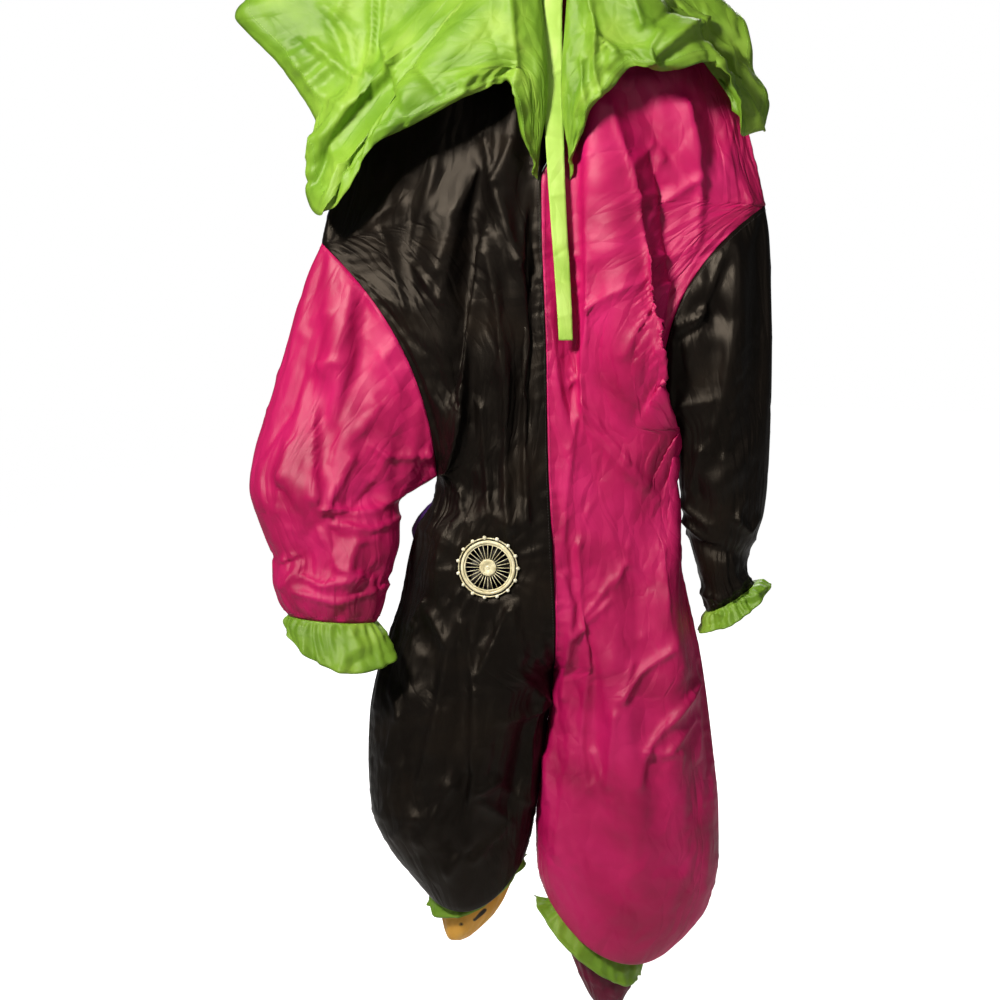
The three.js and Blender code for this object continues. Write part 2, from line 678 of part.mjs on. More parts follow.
// The neck opening: the ellipse of the top sections, at an angle from the wearer's left side
function neckAt(angle) {
  const row = SHOULDER_ROWS[0];
  const left = Math.cos(angle) > 0;
  const width = Math.abs((left ? row.leftX : row.rightX) - BACK_X);
  const z = mix(row.z, left ? row.leftZ : row.rightZ, Math.abs(Math.cos(angle)));
  const point = new THREE.Vector3(BACK_X + width * Math.cos(angle), -row.front * Math.sin(angle), z);
  const out = new THREE.Vector3(row.front * Math.cos(angle), -width * Math.sin(angle), 0).normalize();
  return { point, out };
}

// Where a ray of the collar starts: against the front beside the slit, or against the neckband
function collarRoot(hand, ray) {
  if (!ray.slitZ) {
    const { point, out } = neckAt(THREE.MathUtils.degToRad(ray.turn));
    point.addScaledVector(out, CLOTH + COLLAR_LIFT);
    return { x: point.x, y: point.y, z: point.z + COLLAR_RISE };
  }
  const k = clamp(SHOULDER_ROWS.findIndex((row) => row.z <= ray.slitZ), 1, SHOULDER_ROWS.length - 1);
  const [above, below] = [SHOULDER_ROWS[k - 1], SHOULDER_ROWS[k]];
  const front = mix(above.front, below.front, (above.z - ray.slitZ) / (above.z - below.z));
  return { x: COLLAR_SLIT_X[hand], y: -front - CLOTH - COLLAR_LIFT, z: ray.slitZ };
}

// One half of the collar: rays from neck to hem, puffed between, with gathers that grow towards the hem
function collarHalf(hand, rays) {
  const sign = hand === 'right' ? -1 : 1;
  const rows = rays.map(({ hemX, hemY, hemZ, ...ray }) => ({ ...collarRoot(hand, ray), hemX, hemY, hemZ }));
  const line = Array.from({ length: COLLAR_STEPS + 1 }, (_, j) => (
    rowAt(rows, ((rows.length - 1) * j) / COLLAR_STEPS)));
  const cells = COLLAR_FRACTIONS.map((fraction) => line.map((ray) => (
    new THREE.Vector3(ray.x, ray.y, ray.z).lerp(new THREE.Vector3(ray.hemX, ray.hemY, ray.hemZ), fraction))));
  const centre = new THREE.Vector3(0, 0, COLLAR_CENTRE_Z);
  const outs = cells.map((row) => row.map((point) => point.clone().sub(centre)));
  const flat = inwardOver(cells, outs, false);
  const grid = cells.map((row, i) => row.map((point, j) => {
    const t = j / COLLAR_STEPS;
    const fade = smooth(Math.min(t, 1 - t) / COLLAR_FADE);
    const puff = COLLAR_PUFF * Math.sin(Math.PI * COLLAR_FRACTIONS[i] ** 0.6) * fade;
    const wave = COLLAR_WAVE * COLLAR_FRACTIONS[i] ** 2 * Math.cos(2 * Math.PI * COLLAR_WAVES * t) * fade;
    return point.clone().addScaledVector(flat[i][j], -puff - wave - COLLAR_ROLL[i] * fade);
  }));
  grid.forEach((row) => { row[COLLAR_STEPS].x = BACK_X + sign * HALF_SEAM; });
  const inward = inwardOver(grid, outs, false);
  inward.forEach((row) => {
    row[COLLAR_STEPS].x = 0;
    row[COLLAR_STEPS].normalize();
  });
  return wall(grid, offset(grid, inward, CLOTH));
}

// The neckband stands on the neck edge all the way round
function neckband() {
  const bottom = turns(NECKBAND_STEPS).map(neckAt);
  bottom.forEach((cell) => { cell.point.z += SEAM; });
  const top = bottom.map((cell) => ({ point: cell.point.clone(), out: cell.out }));
  top.forEach(({ point }) => { point.z = mix(point.z, NECKBAND_TOP, NECKBAND_LEVEL) + NECKBAND_HEIGHT; });
  return tube([bottom, top], { keepEnd: true });
}

// The ribbon, a flat strip along its middle line
function ribbon() {
  const rows = Array.from({ length: TIE_STEPS + 1 }, (_, i) => rowAt(TIE, ((TIE.length - 1) * i) / TIE_STEPS));
  const strip = (lift) => rows.map((row, i) => {
    const before = rows[Math.max(i - 1, 0)];
    const after = rows[Math.min(i + 1, TIE_STEPS)];
    const along = new THREE.Vector2(after.y - before.y, after.z - before.z).normalize();
    return [-1, 1].map((share) => new THREE.Vector3(
      row.x + (share * row.width) / 2, row.y + along.y * lift, row.z - along.x * lift));
  });
  return wall(strip(0), strip(TIE_THICK));
}

// Cutting and joining: a geometry becomes a solid, and a solid a geometry again
function solidOf(geometry) {
  const bare = geometry.clone();
  bare.deleteAttribute('normal');
  bare.deleteAttribute('uv');
  const merged = mergeVertices(bare, 1e-4);
  return new wasm.Manifold(new wasm.Mesh({
    numProp: 3,
    vertProperties: new Float32Array(merged.attributes.position.array),
    triVerts: new Uint32Array(merged.index.array),
  }));
}

function geometryOf(solid) {
  const mesh = solid.getMesh();
  const geometry = new THREE.BufferGeometry();
  geometry.setAttribute('position', new THREE.BufferAttribute(new Float32Array(mesh.vertProperties), 3));
  geometry.setIndex([...mesh.triVerts]);
  return geometry;
}

const joined = (geometries) => geometryOf(geometries.map(solidOf).reduce((all, one) => all.add(one)));
const cut = (geometry, tool) => geometryOf(solidOf(geometry).subtract(solidOf(tool)));

// Fan pieces are drawn with their axis on Z, out of the cloth, and then turned to face the front
function toFanPlace(geometry) {
  return geometry.clone().rotateX(Math.PI / 2).rotateZ(-fanTurn).translate(FAN.x, FAN.y, FAN.z);
}

function disc(radius, from, to, sides) {
  return new THREE.CylinderGeometry(radius, radius, to - from, sides)
    .rotateX(Math.PI / 2).translate(0, 0, (from + to) / 2);
}

function hoop(inner, outer, from, to, sides) {
  const corners = [[inner, from], [outer, from], [outer, to], [inner, to], [inner, from]];
  return new THREE.LatheGeometry(corners.map(([r, z]) => new THREE.Vector2(r, z)), sides).rotateX(Math.PI / 2);
}

function spoke(from, to, width, back, front, turn) {
  return new THREE.BoxGeometry(to - from, width, front - back)
    .translate((from + to) / 2, 0, (front + back) / 2).rotateZ(turn);
}

function bezel() {
  const { outer, inner, back, front, slope, sides } = BEZEL;
  const profile = [
    [inner, back], [outer, back], [outer, front - slope], [outer - slope, front], [inner, front - slope / 2],
    [inner, back],
  ];
  const points = profile.map(([r, z]) => new THREE.Vector2(r, z));
  const ring = new THREE.LatheGeometry(points, sides).rotateX(Math.PI / 2);
  const nubs = turns(BEZEL.nubs).map((turn) => disc(BEZEL.nubRadius, BEZEL.back, BEZEL.front + 0.5, 6)
    .translate(outer * Math.cos(turn), outer * Math.sin(turn), 0));
  return toFanPlace(joined([ring, ...nubs]));
}

function grille() {
  const rim = hoop(GRILLE.outer - GRILLE.rim, GRILLE.outer, GRILLE.back, GRILLE.front, GRILLE.sides);
  const hub = disc(GRILLE.hub, GRILLE.back, GRILLE.front + 0.6, GRILLE.sides);
  const wires = turns(GRILLE.spokes).map((turn) => (
    spoke(GRILLE.hub - 1, GRILLE.outer - 1, GRILLE.spoke, GRILLE.back + 0.3, GRILLE.front - 0.3, turn)));
  return toFanPlace(joined([rim, hub, ...wires]));
}

function housing() {
  const clampFront = -CLOTH - SEAM;
  const clampBack = clampFront - HOUSING.clampThick;
  const body = hoop(HOUSING.inner, HOUSING.outer, -HOUSING.depth, 0, ROUND_SIDES);
  const clampRing = hoop(HOUSING.inner, HOUSING.clampOuter, clampBack, clampFront, ROUND_SIDES);
  const motor = disc(MOTOR.radius, MOTOR.back, MOTOR.front, 16);
  const struts = turns(MOTOR.struts).map((turn) => spoke(MOTOR.radius - 2, HOUSING.inner + 1, MOTOR.strutWidth,
    MOTOR.back, MOTOR.back + MOTOR.strutDepth, turn));
  const whole = joined([body, clampRing, motor, ...struts]);
  return toFanPlace(cut(whole, disc(MOTOR.bore, PIN_END - 1, MOTOR.front + 1, 12)));
}

function rotor() {
  const hub = disc(ROTOR.hub, ROTOR.back, ROTOR.front, 16);
  const pin = disc(ROTOR.pin, PIN_END, ROTOR.back + 1, 12);
  const pitch = THREE.MathUtils.degToRad(ROTOR.pitch);
  const blades = turns(ROTOR.blades).map((turn) => {
    const length = ROTOR.reach - ROTOR.hub + 2;
    return new THREE.BoxGeometry(length, 12, ROTOR.blade).rotateX(pitch)
      .translate(ROTOR.hub - 2 + length / 2, 0, (ROTOR.back + ROTOR.front) / 2).rotateZ(turn);
  });
  return toFanPlace(joined([hub, pin, ...blades]));
}

function fanHole() {
  return toFanPlace(disc(FAN.hole, -HOUSING.depth, HOUSING.depth, ROUND_SIDES));
}

// Colours and finishes
const cloth = (color) => new THREE.MeshStandardMaterial({ color, roughness: 0.38, metalness: 0 });
const black = cloth(0x14100f);
const magenta = cloth(0xb5164f);
const purple = cloth(0x3c1460);
const lime = cloth(0x86b93a);
const amber = cloth(0xd79a3c);
const wine = cloth(0x6a0a35);
const cream = new THREE.MeshStandardMaterial({ color: 0xe8dfb8, roughness: 0.35, metalness: 0.1 });

const costume = new THREE.Group();
function add(name, geometry, material) {
  const mesh = new THREE.Mesh(geometry, material);
  mesh.name = name;
  costume.add(mesh);
}

// The last section of a leg is the loop at its ankle
function ankleLoop(rows) {
  const row = rows[rows.length - 1];
  return { outerX: row.sideX, outerZ: row.sideZ, innerX: row.innerX, innerZ: row.innerZ, depth: row.front };
}
const wristLoop = (rings) => rings[rings.length - 1];

const rightFront = panel('right', -1, FRONT_COLUMNS, FRONT_STEPS, FRONT_RIGHT_FOLDS);
add('front_right', cut(rightFront, fanHole()), black);
add('front_left', panel('left', -1, FRONT_COLUMNS, FRONT_STEPS, FRONT_LEFT_FOLDS), magenta);
add('back_right', panel('right', 1, BACK_COLUMNS, BACK_STEPS, BACK_RIGHT_FOLDS), purple);
add('back_left', panel('left', 1, BACK_COLUMNS, BACK_STEPS, BACK_LEFT_FOLDS), magenta);
add('sleeve_right', sleeve('right', SLEEVE_RIGHT, SLEEVE_RIGHT_FOLDS), magenta);
add('sleeve_left', sleeve('left', SLEEVE_LEFT, SLEEVE_LEFT_FOLDS), black);
add('wrist_frill_right', frill(wristLoop(SLEEVE_RIGHT), WRIST_RIGHT), lime);
add('wrist_frill_left', frill(wristLoop(SLEEVE_LEFT), WRIST_LEFT), lime);
add('ankle_frill_right', frill(ankleLoop(RIGHT_LEG), ANKLE_RIGHT, ANKLE_INSET), lime);
add('ankle_frill_left', frill(ankleLoop(LEFT_LEG), ANKLE_LEFT, ANKLE_INSET), lime);
add('foot_cover_right', footCover(ankleLoop(RIGHT_LEG), FOOT_RIGHT), amber);
add('foot_cover_left', footCover(ankleLoop(LEFT_LEG), FOOT_LEFT), wine);
add('collar_right', collarHalf('right', COLLAR_RIGHT), lime);
add('collar_left', collarHalf('left', COLLAR_LEFT), lime);
add('neckband', neckband(), lime);
add('tie', ribbon(), lime);
add('fan_bezel', bezel(), cream);
add('fan_grille', grille(), cream);
add('fan_housing', housing(), cream);
add('fan_rotor', rotor(), cream);

export default costume;
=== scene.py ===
import math

import bmesh
import bpy
import numpy as np
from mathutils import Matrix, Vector


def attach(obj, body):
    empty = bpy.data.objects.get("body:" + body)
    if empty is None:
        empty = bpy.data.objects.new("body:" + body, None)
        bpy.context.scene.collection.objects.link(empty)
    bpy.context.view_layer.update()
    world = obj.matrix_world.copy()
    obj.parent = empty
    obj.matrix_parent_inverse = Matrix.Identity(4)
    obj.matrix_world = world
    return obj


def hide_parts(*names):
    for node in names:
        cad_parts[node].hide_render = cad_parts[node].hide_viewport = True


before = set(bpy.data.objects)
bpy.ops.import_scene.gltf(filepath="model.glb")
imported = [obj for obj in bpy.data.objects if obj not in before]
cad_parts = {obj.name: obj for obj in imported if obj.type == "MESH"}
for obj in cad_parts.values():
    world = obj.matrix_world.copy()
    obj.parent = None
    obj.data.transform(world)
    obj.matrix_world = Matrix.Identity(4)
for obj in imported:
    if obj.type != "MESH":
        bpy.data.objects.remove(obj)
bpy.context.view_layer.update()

# Camera
# It stands in front of the hanging suit, a little above its middle, and looks down on it at the
# photograph's angle.
AIM = Vector((-0.074, 0.0, -0.837))
CAMERA_AWAY = 3.0
CAMERA_PITCH = math.radians(8)
HALF_VIEW = 0.775
SENSOR = 36


def new_object(name, data):
    made = bpy.data.objects.new(name, data)
    bpy.context.scene.collection.objects.link(made)
    return made


camera_data = bpy.data.cameras.new("camera")
camera_data.sensor_width = SENSOR
camera_data.lens = SENSOR / 2 * CAMERA_AWAY / HALF_VIEW
camera = new_object("camera", camera_data)
camera.location = AIM + CAMERA_AWAY * Vector((0, -math.cos(CAMERA_PITCH), math.sin(CAMERA_PITCH)))
camera.rotation_euler = (math.pi / 2 - CAMERA_PITCH, 0, 0)
bpy.context.scene.camera = camera

# Tie
# A flat lime ribbon of woven nylon, sewn to the front of the neckband. It hangs free in front of the slit to
# a square cut end. Tables here and below are in millimetres, as a pattern cutter writes them.
MM = 0.001
TIE_LINE = np.array([
    # x, y, z, width
    (4, -58.5, -7, 30),
    (4, -59, -21, 30),
    (4, -62, -38, 30),
    (3, -70, -66, 30),
    (2, -80, -120, 29),
    (3, -84, -190, 29),
    (5, -86, -260, 28),
    (8, -87, -330, 26),
    (12, -88, -400, 24),
    (17, -89, -470, 23),
    (21, -88, -530, 22),
    (24, -87, -585, 21),
])
TIE_THICK = 1.0
TIE_ROWS, TIE_COLUMNS, TIE_POINTS = 200, 9, 25
TIE_BOW, TIE_FOLD_WIDTH = 0.8, 4
# height down the ribbon, how far the fold stands out, and its slope across the ribbon
TIE_FOLDS = ((-196, 1.6, 0.5), (-288, -1.4, -0.3), (-371, 1.3, 0.2), (-455, -1.6, 0.6), (-500, 1.5, -0.4),
             (-548, 1.2, 0.3))


def through(knots, values, at):
    """A smooth line through values at the knots. It never swings past them."""
    knots, values, at = (np.asarray(given, float) for given in (knots, values, at))
    flat = values.reshape(len(knots), -1)
    span = np.diff(knots)[:, None]
    rise = np.diff(flat, axis=0) / span
    slope = np.zeros_like(flat)
    slope[0], slope[-1] = rise[0], rise[-1]
    first, second = 2 * span[1:] + span[:-1], span[1:] + 2 * span[:-1]
    steady = rise[:-1] * rise[1:] > 0
    safe = np.where(steady, rise[:-1], 1), np.where(steady, rise[1:], 1)
    slope[1:-1] = np.where(steady, (first + second) / (first / safe[0] + second / safe[1]), 0)
    k = np.clip(np.searchsorted(knots, at, side="right") - 1, 0, len(knots) - 2)
    t = ((at - knots[k]) / (knots[k + 1] - knots[k]))[:, None]
    low, high, wide = flat[k], flat[k + 1], span[k]
    cubed = t * t * (3 - 2 * t)
    line = low + cubed * (high - low)
    line += wide * t * (1 - t) * ((1 - t) * slope[k] - t * slope[k + 1])
    return line.reshape((len(at),) + values.shape[1:])


def smooth(value):
    t = np.clip(value, 0, 1)
    return t * t * (3 - 2 * t)


def lengths(points):
    """How far along a line each of its points lies."""
    steps = np.linalg.norm(np.diff(points, axis=0), axis=1)
    return np.concatenate([[0], np.cumsum(steps)])


def cloth_object(name, grid, outs, thick, material, closed=False):
    """Cloth over a grid of points in millimetres, with a UV map in metres and a thin inward wall."""
    rows, columns = grid.shape[:2]
    spans = columns if closed else columns - 1
    i, j = np.meshgrid(np.arange(rows - 1), np.arange(spans), indexing="ij")
    i, j = i.ravel(), j.ravel()
    right = (j + 1) % columns
    above, below = i * columns, (i + 1) * columns
    faces = np.stack([above + j, above + right, below + right, below + j], axis=1)
    points = grid.reshape(-1, 3)
    normals = np.cross(points[faces[:, 2]] - points[faces[:, 0]], points[faces[:, 3]] - points[faces[:, 1]])
    turned = (normals * outs.reshape(-1, 3)[faces[:, 0]]).sum() < 0
    middle = grid[rows // 2]
    if closed:
        middle = np.concatenate([middle, middle[:1]])
    across, down = lengths(middle) * MM, lengths(grid[:, columns // 3]) * MM
    u, v = np.stack([j, j + 1, j + 1, j], axis=1), np.stack([i, i, i + 1, i + 1], axis=1)
    uv = np.stack([across[u], down[v]], -1)
    if turned:
        faces, uv = faces[:, ::-1], uv[:, ::-1]
    mesh = bpy.data.meshes.new(name)
    mesh.from_pydata((points * MM).tolist(), [], faces.tolist())
    layer = mesh.uv_layers.new(name="UVMap")
    layer.data.foreach_set("uv", np.ascontiguousarray(uv, dtype=np.float32).ravel())
    mesh.shade_smooth()
    mesh.materials.append(material)
    piece = new_object(name, mesh)
    wall = piece.modifiers.new("wall", "SOLIDIFY")
    wall.thickness = thick * MM
    wall.offset = -1
    return piece


def new_material(name):
    material = bpy.data.materials.new(name)
    material.use_nodes = True
    tree = material.node_tree
    return material, tree, tree.nodes["Principled BSDF"]


def set_inputs(node, values):
    for key, value in values.items():
        node.inputs[key].default_value = value


def add_node(tree, kind, values=None, **settings):
    """A new node with its settings and the values of its inputs."""
    node = tree.nodes.new(kind)
    for key, value in settings.items():
        setattr(node, key, value)
    set_inputs(node, values or {})
    return node


def nylon(name, dark, base, light, glint=(1, 0.93, 0.86), roughness=0.47, sheen=0.06, weave=0.0006,
          crumple=0.0042, grain=1.7, shine=0.42):
    """Woven nylon: fine threads, small sharp creases that mostly run down it, uneven dye, a soft gloss."""
    material, tree, shader = new_material(name)
    link = tree.links.new
    set_inputs(shader, {
        "IOR": 1.5, "Specular IOR Level": shine, "Specular Tint": (*glint, 1),
        "Sheen Weight": sheen, "Sheen Roughness": 0.35, "Sheen Tint": (*light, 1),
    })
    place = add_node(tree, "ShaderNodeUVMap", uv_map="UVMap")
    cloudy = add_node(tree, "ShaderNodeTexNoise", {"Scale": 9, "Detail": 5})
    link(place.outputs["UV"], cloudy.inputs["Vector"])
    dye = add_node(tree, "ShaderNodeValToRGB")
    dye.color_ramp.elements[0].position, dye.color_ramp.elements[1].position = 0.3, 0.72
    dye.color_ramp.elements[0].color, dye.color_ramp.elements[1].color = (*dark, 1), (*light, 1)
    dye.color_ramp.elements.new(0.5).color = (*base, 1)
    link(cloudy.outputs["Fac"], dye.inputs["Fac"])
    link(dye.outputs["Color"], shader.inputs["Base Color"])
    long_way = add_node(tree, "ShaderNodeVectorMath", {1: (grain, 1 / grain, 1)}, operation="MULTIPLY")
    link(place.outputs["UV"], long_way.inputs[0])
    ridged = add_node(tree, "ShaderNodeTexNoise",
                      {"Scale": 11, "Detail": 3, "Roughness": 0.42, "Distortion": 0.7},
                      noise_type="RIDGED_MULTIFRACTAL")
    link(long_way.outputs["Vector"], ridged.inputs["Vector"])
    warp = add_node(tree, "ShaderNodeTexNoise", {"Scale": 13, "Detail": 1})
    link(place.outputs["UV"], warp.inputs["Vector"])
    shift = add_node(tree, "ShaderNodeVectorMath", {1: (0.06, 0.06, 0.06)}, operation="MULTIPLY_ADD")
    link(warp.outputs["Color"], shift.inputs[0])
    link(long_way.outputs["Vector"], shift.inputs[2])
    cells = add_node(tree, "ShaderNodeTexVoronoi", {"Scale": 24}, feature="DISTANCE_TO_EDGE")
    link(shift.outputs["Vector"], cells.inputs["Vector"])
    both = add_node(tree, "ShaderNodeMath", {1: 0.8}, operation="MULTIPLY_ADD")
    link(cells.outputs["Distance"], both.inputs[0])
    link(ridged.outputs["Fac"], both.inputs[2])
    crease = add_node(tree, "ShaderNodeBump", {"Strength": 1, "Distance": crumple})
    link(both.outputs["Value"], crease.inputs["Height"])
    crossed = add_node(tree, "ShaderNodeMath", operation="ADD")
    for number, direction in enumerate(("X", "Y")):
        thread = add_node(tree, "ShaderNodeTexWave", {"Scale": math.pi / 10 / weave, "Distortion": 0.6},
                          bands_direction=direction)
        link(place.outputs["UV"], thread.inputs["Vector"])
        link(thread.outputs["Fac"], crossed.inputs[number])
    woven = add_node(tree, "ShaderNodeBump", {"Strength": 0.25, "Distance": weave * 0.3})
    link(crossed.outputs["Value"], woven.inputs["Height"])
    link(crease.outputs["Normal"], woven.inputs["Normal"])
    link(woven.outputs["Normal"], shader.inputs["Normal"])
    gloss = add_node(tree, "ShaderNodeMapRange", {"To Min": roughness - 0.08, "To Max": roughness + 0.1})
    link(cloudy.outputs["Fac"], gloss.inputs["Value"])
    link(gloss.outputs["Result"], shader.inputs["Roughness"])
    return material


ribbon_knots = lengths(TIE_LINE[:, :3])
tie_line = through(ribbon_knots, TIE_LINE, np.linspace(0, ribbon_knots[-1], TIE_ROWS))
tie_path = through(ribbon_knots, TIE_LINE, np.linspace(0, ribbon_knots[-1], TIE_POINTS))[:, :3] * MM
across = np.linspace(-0.5, 0.5, TIE_COLUMNS)
tie_grid = np.repeat(tie_line[:, None, :3], TIE_COLUMNS, axis=1)
tie_grid[..., 0] += across * tie_line[:, 3:]
tie_grid[..., 1] -= TIE_BOW * np.cos(np.pi * across) ** 2
for fold_z, stand, slope in TIE_FOLDS:
    away = np.abs(tie_grid[..., 2] - fold_z - slope * (tie_grid[..., 0] - tie_line[:, None, 0]))
    tie_grid[..., 1] -= stand * np.exp(-away / TIE_FOLD_WIDTH)
lime_ribbon = nylon("lime_ribbon", (0.20, 0.38, 0.03), (0.36, 0.56, 0.09), (0.50, 0.68, 0.18), weave=0.0011,
                    roughness=0.5, crumple=0.003)
tie = cloth_object("tie_ribbon", tie_grid, np.tile((0.0, -1.0, 0.0), (TIE_ROWS, TIE_COLUMNS, 1)), TIE_THICK,
                   lime_ribbon)
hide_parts("tie")
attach(tie, "suit")

# Fronts and backs
# Four long panels of thin glossy nylon: black, magenta and purple. Each is one half of the body with its
# balloon leg, cut in one. It is sewn to its neighbours down the centre, the sides, the armholes and the
# insides of the legs.
CLOTH = 0.9
HALF_SEAM = 0.15
LEG_GAP = 0.05
NECK_X = 5
ARMHOLE_DEPTH = 60
ARMHOLE_SECTIONS = 13
TIPS = {"right": (-345, -442), "left": (328, -385)}
UNDERARMS = {"right": (-171, -797), "left": (176, -718)}
BOWS = {"right": 42, "left": 60}
TOWARDS = {"right": 1, "left": -1}
SHOULDER = np.array([
    # z, slit right, slit left, front, back, right x, right z, left x, left z
    (-30, -16, 27, 58, 58, -84, -16, 80, -16),
    (-75, -16, 27, 62, 60, -149, -64, 150, -53),
    (-130, -15, 26, 65, 62, -216, -133, 210, -96),
    (-190, -15, 25, 68, 63, -270, -206, 259, -158),
    (-245, -14, 23, 70, 64, -303, -273, 288, -229),
    (-300, -13.5, 16, 72, 65, -326, -362, 308, -303),
], float)
CENTRE = np.array([
    # z, x, front, back
    (-353, -13, 74, 66),
    (-430, -12, 76, 67),
    (-503, -9, 77, 68),
    (-600, -5, 78, 69),
    (-705, -3, 77, 70),
    (-745, -2, 76, 70),
], float)
LEGS = {
    # side x, side z, inner x, inner z, front, back, open at the centre, droop
    "right": np.array([
        (-177, -835, 0, -800, 77, 71, 1, 0),
        (-203, -880, 3, -860, 78, 72, 1, 0),
        (-217, -930, 6, -920, 80, 74, 1, 0),
        (-227, -985, 9, -975, 82, 76, 1, 0),
        (-246, -1045, 11, -1025, 83, 78, 0.93, 0),
        (-266, -1105, 11, -1068, 84, 80, 0.7, 0),
        (-279, -1175, 9, -1115, 85, 80, 0, 0),
        (-282, -1250, 0, -1195, 88, 84, 0, 4),
        (-278, -1325, -10, -1275, 90, 86, 0, 9),
        (-254, -1384, -20, -1345, 84, 82, 0, 16),
        (-219, -1428, -28, -1384, 72, 70, 0, 36),
        (-190, -1456, -34, -1400, 54, 52, 0, 52),
        (-176, -1462, -42, -1405, 36, 36, 0, 0),
    ], float),
    "left": np.array([
        (179, -768, 0, -800, 77, 71, 1, 0),
        (184, -828, 3, -860, 78, 72, 1, 0),
        (196, -885, 6, -920, 80, 74, 1, 0),
        (210, -950, 9, -975, 82, 76, 1, 0),
        (226, -1018, 11, -1025, 83, 78, 0.93, 0),
        (241, -1085, 11, -1068, 84, 80, 0.7, 0),
        (252, -1155, 9, -1115, 85, 80, 0, 0),
        (263, -1240, 0, -1195, 88, 84, 0, 4),
        (272, -1325, -10, -1275, 92, 88, 0, 8),
        (274, -1408, -17, -1350, 92, 88, 0, 20),
        (260, -1480, -15, -1415, 84, 80, 0, 40),
        (208, -1541, -4, -1460, 66, 62, 0, 56),
        (156, -1573, 10, -1480, 36, 36, 0, 0),
    ], float),
}
FAN = Vector((-92, -78, -929))
FAN_TURN = math.radians(8)
FAN_HOLE, FAN_FLAT, FAN_FADE, FAN_HELD = 41.2, 70, 125, 0.9
BIG_FOLDS = {
    # x, z, x, z, half width, height
    "front_right": [(-92, -250, -60, -780, 24, 15), (-128, -270, -112, -760, 20, -14),
                    (-45, -380, -25, -820, 16, -12), (-175, -300, -150, -700, 26, 13),
                    (-235, -300, -190, -560, 24, -10), (-62, -1010, -120, -1330, 34, 15),
                    (-175, -1030, -215, -1330, 30, -13), (-210, -1080, -160, -1260, 26, 12),
                    (-25, -1120, -70, -1360, 22, -12)],
    "front_left": [(68, -235, 125, -760, 36, 24), (150, -250, 186, -590, 22, -16),
                   (26, -400, 40, -780, 18, -15), (195, -190, 215, -350, 24, 13),
                   (238, -200, 262, -330, 16, -10), (150, -860, 215, -1220, 36, 15),
                   (70, -900, 62, -1300, 34, -12), (110, -1050, 140, -1400, 30, 12)],
    "back_right": [(-70, -200, -60, -820, 36, 14), (-150, -300, -120, -760, 30, -12),
                   (-200, -856, -212, -878, 18, 30), (-60, -1150, -110, -1340, 40, 14),
                   (-190, -1080, -215, -1320, 34, -12)],
    "back_left": [(70, -200, 70, -800, 36, 14), (150, -300, 120, -720, 30, -12),
                  (90, -1150, 120, -1400, 40, 14), (200, -1100, 215, -1360, 34, -12)],
}
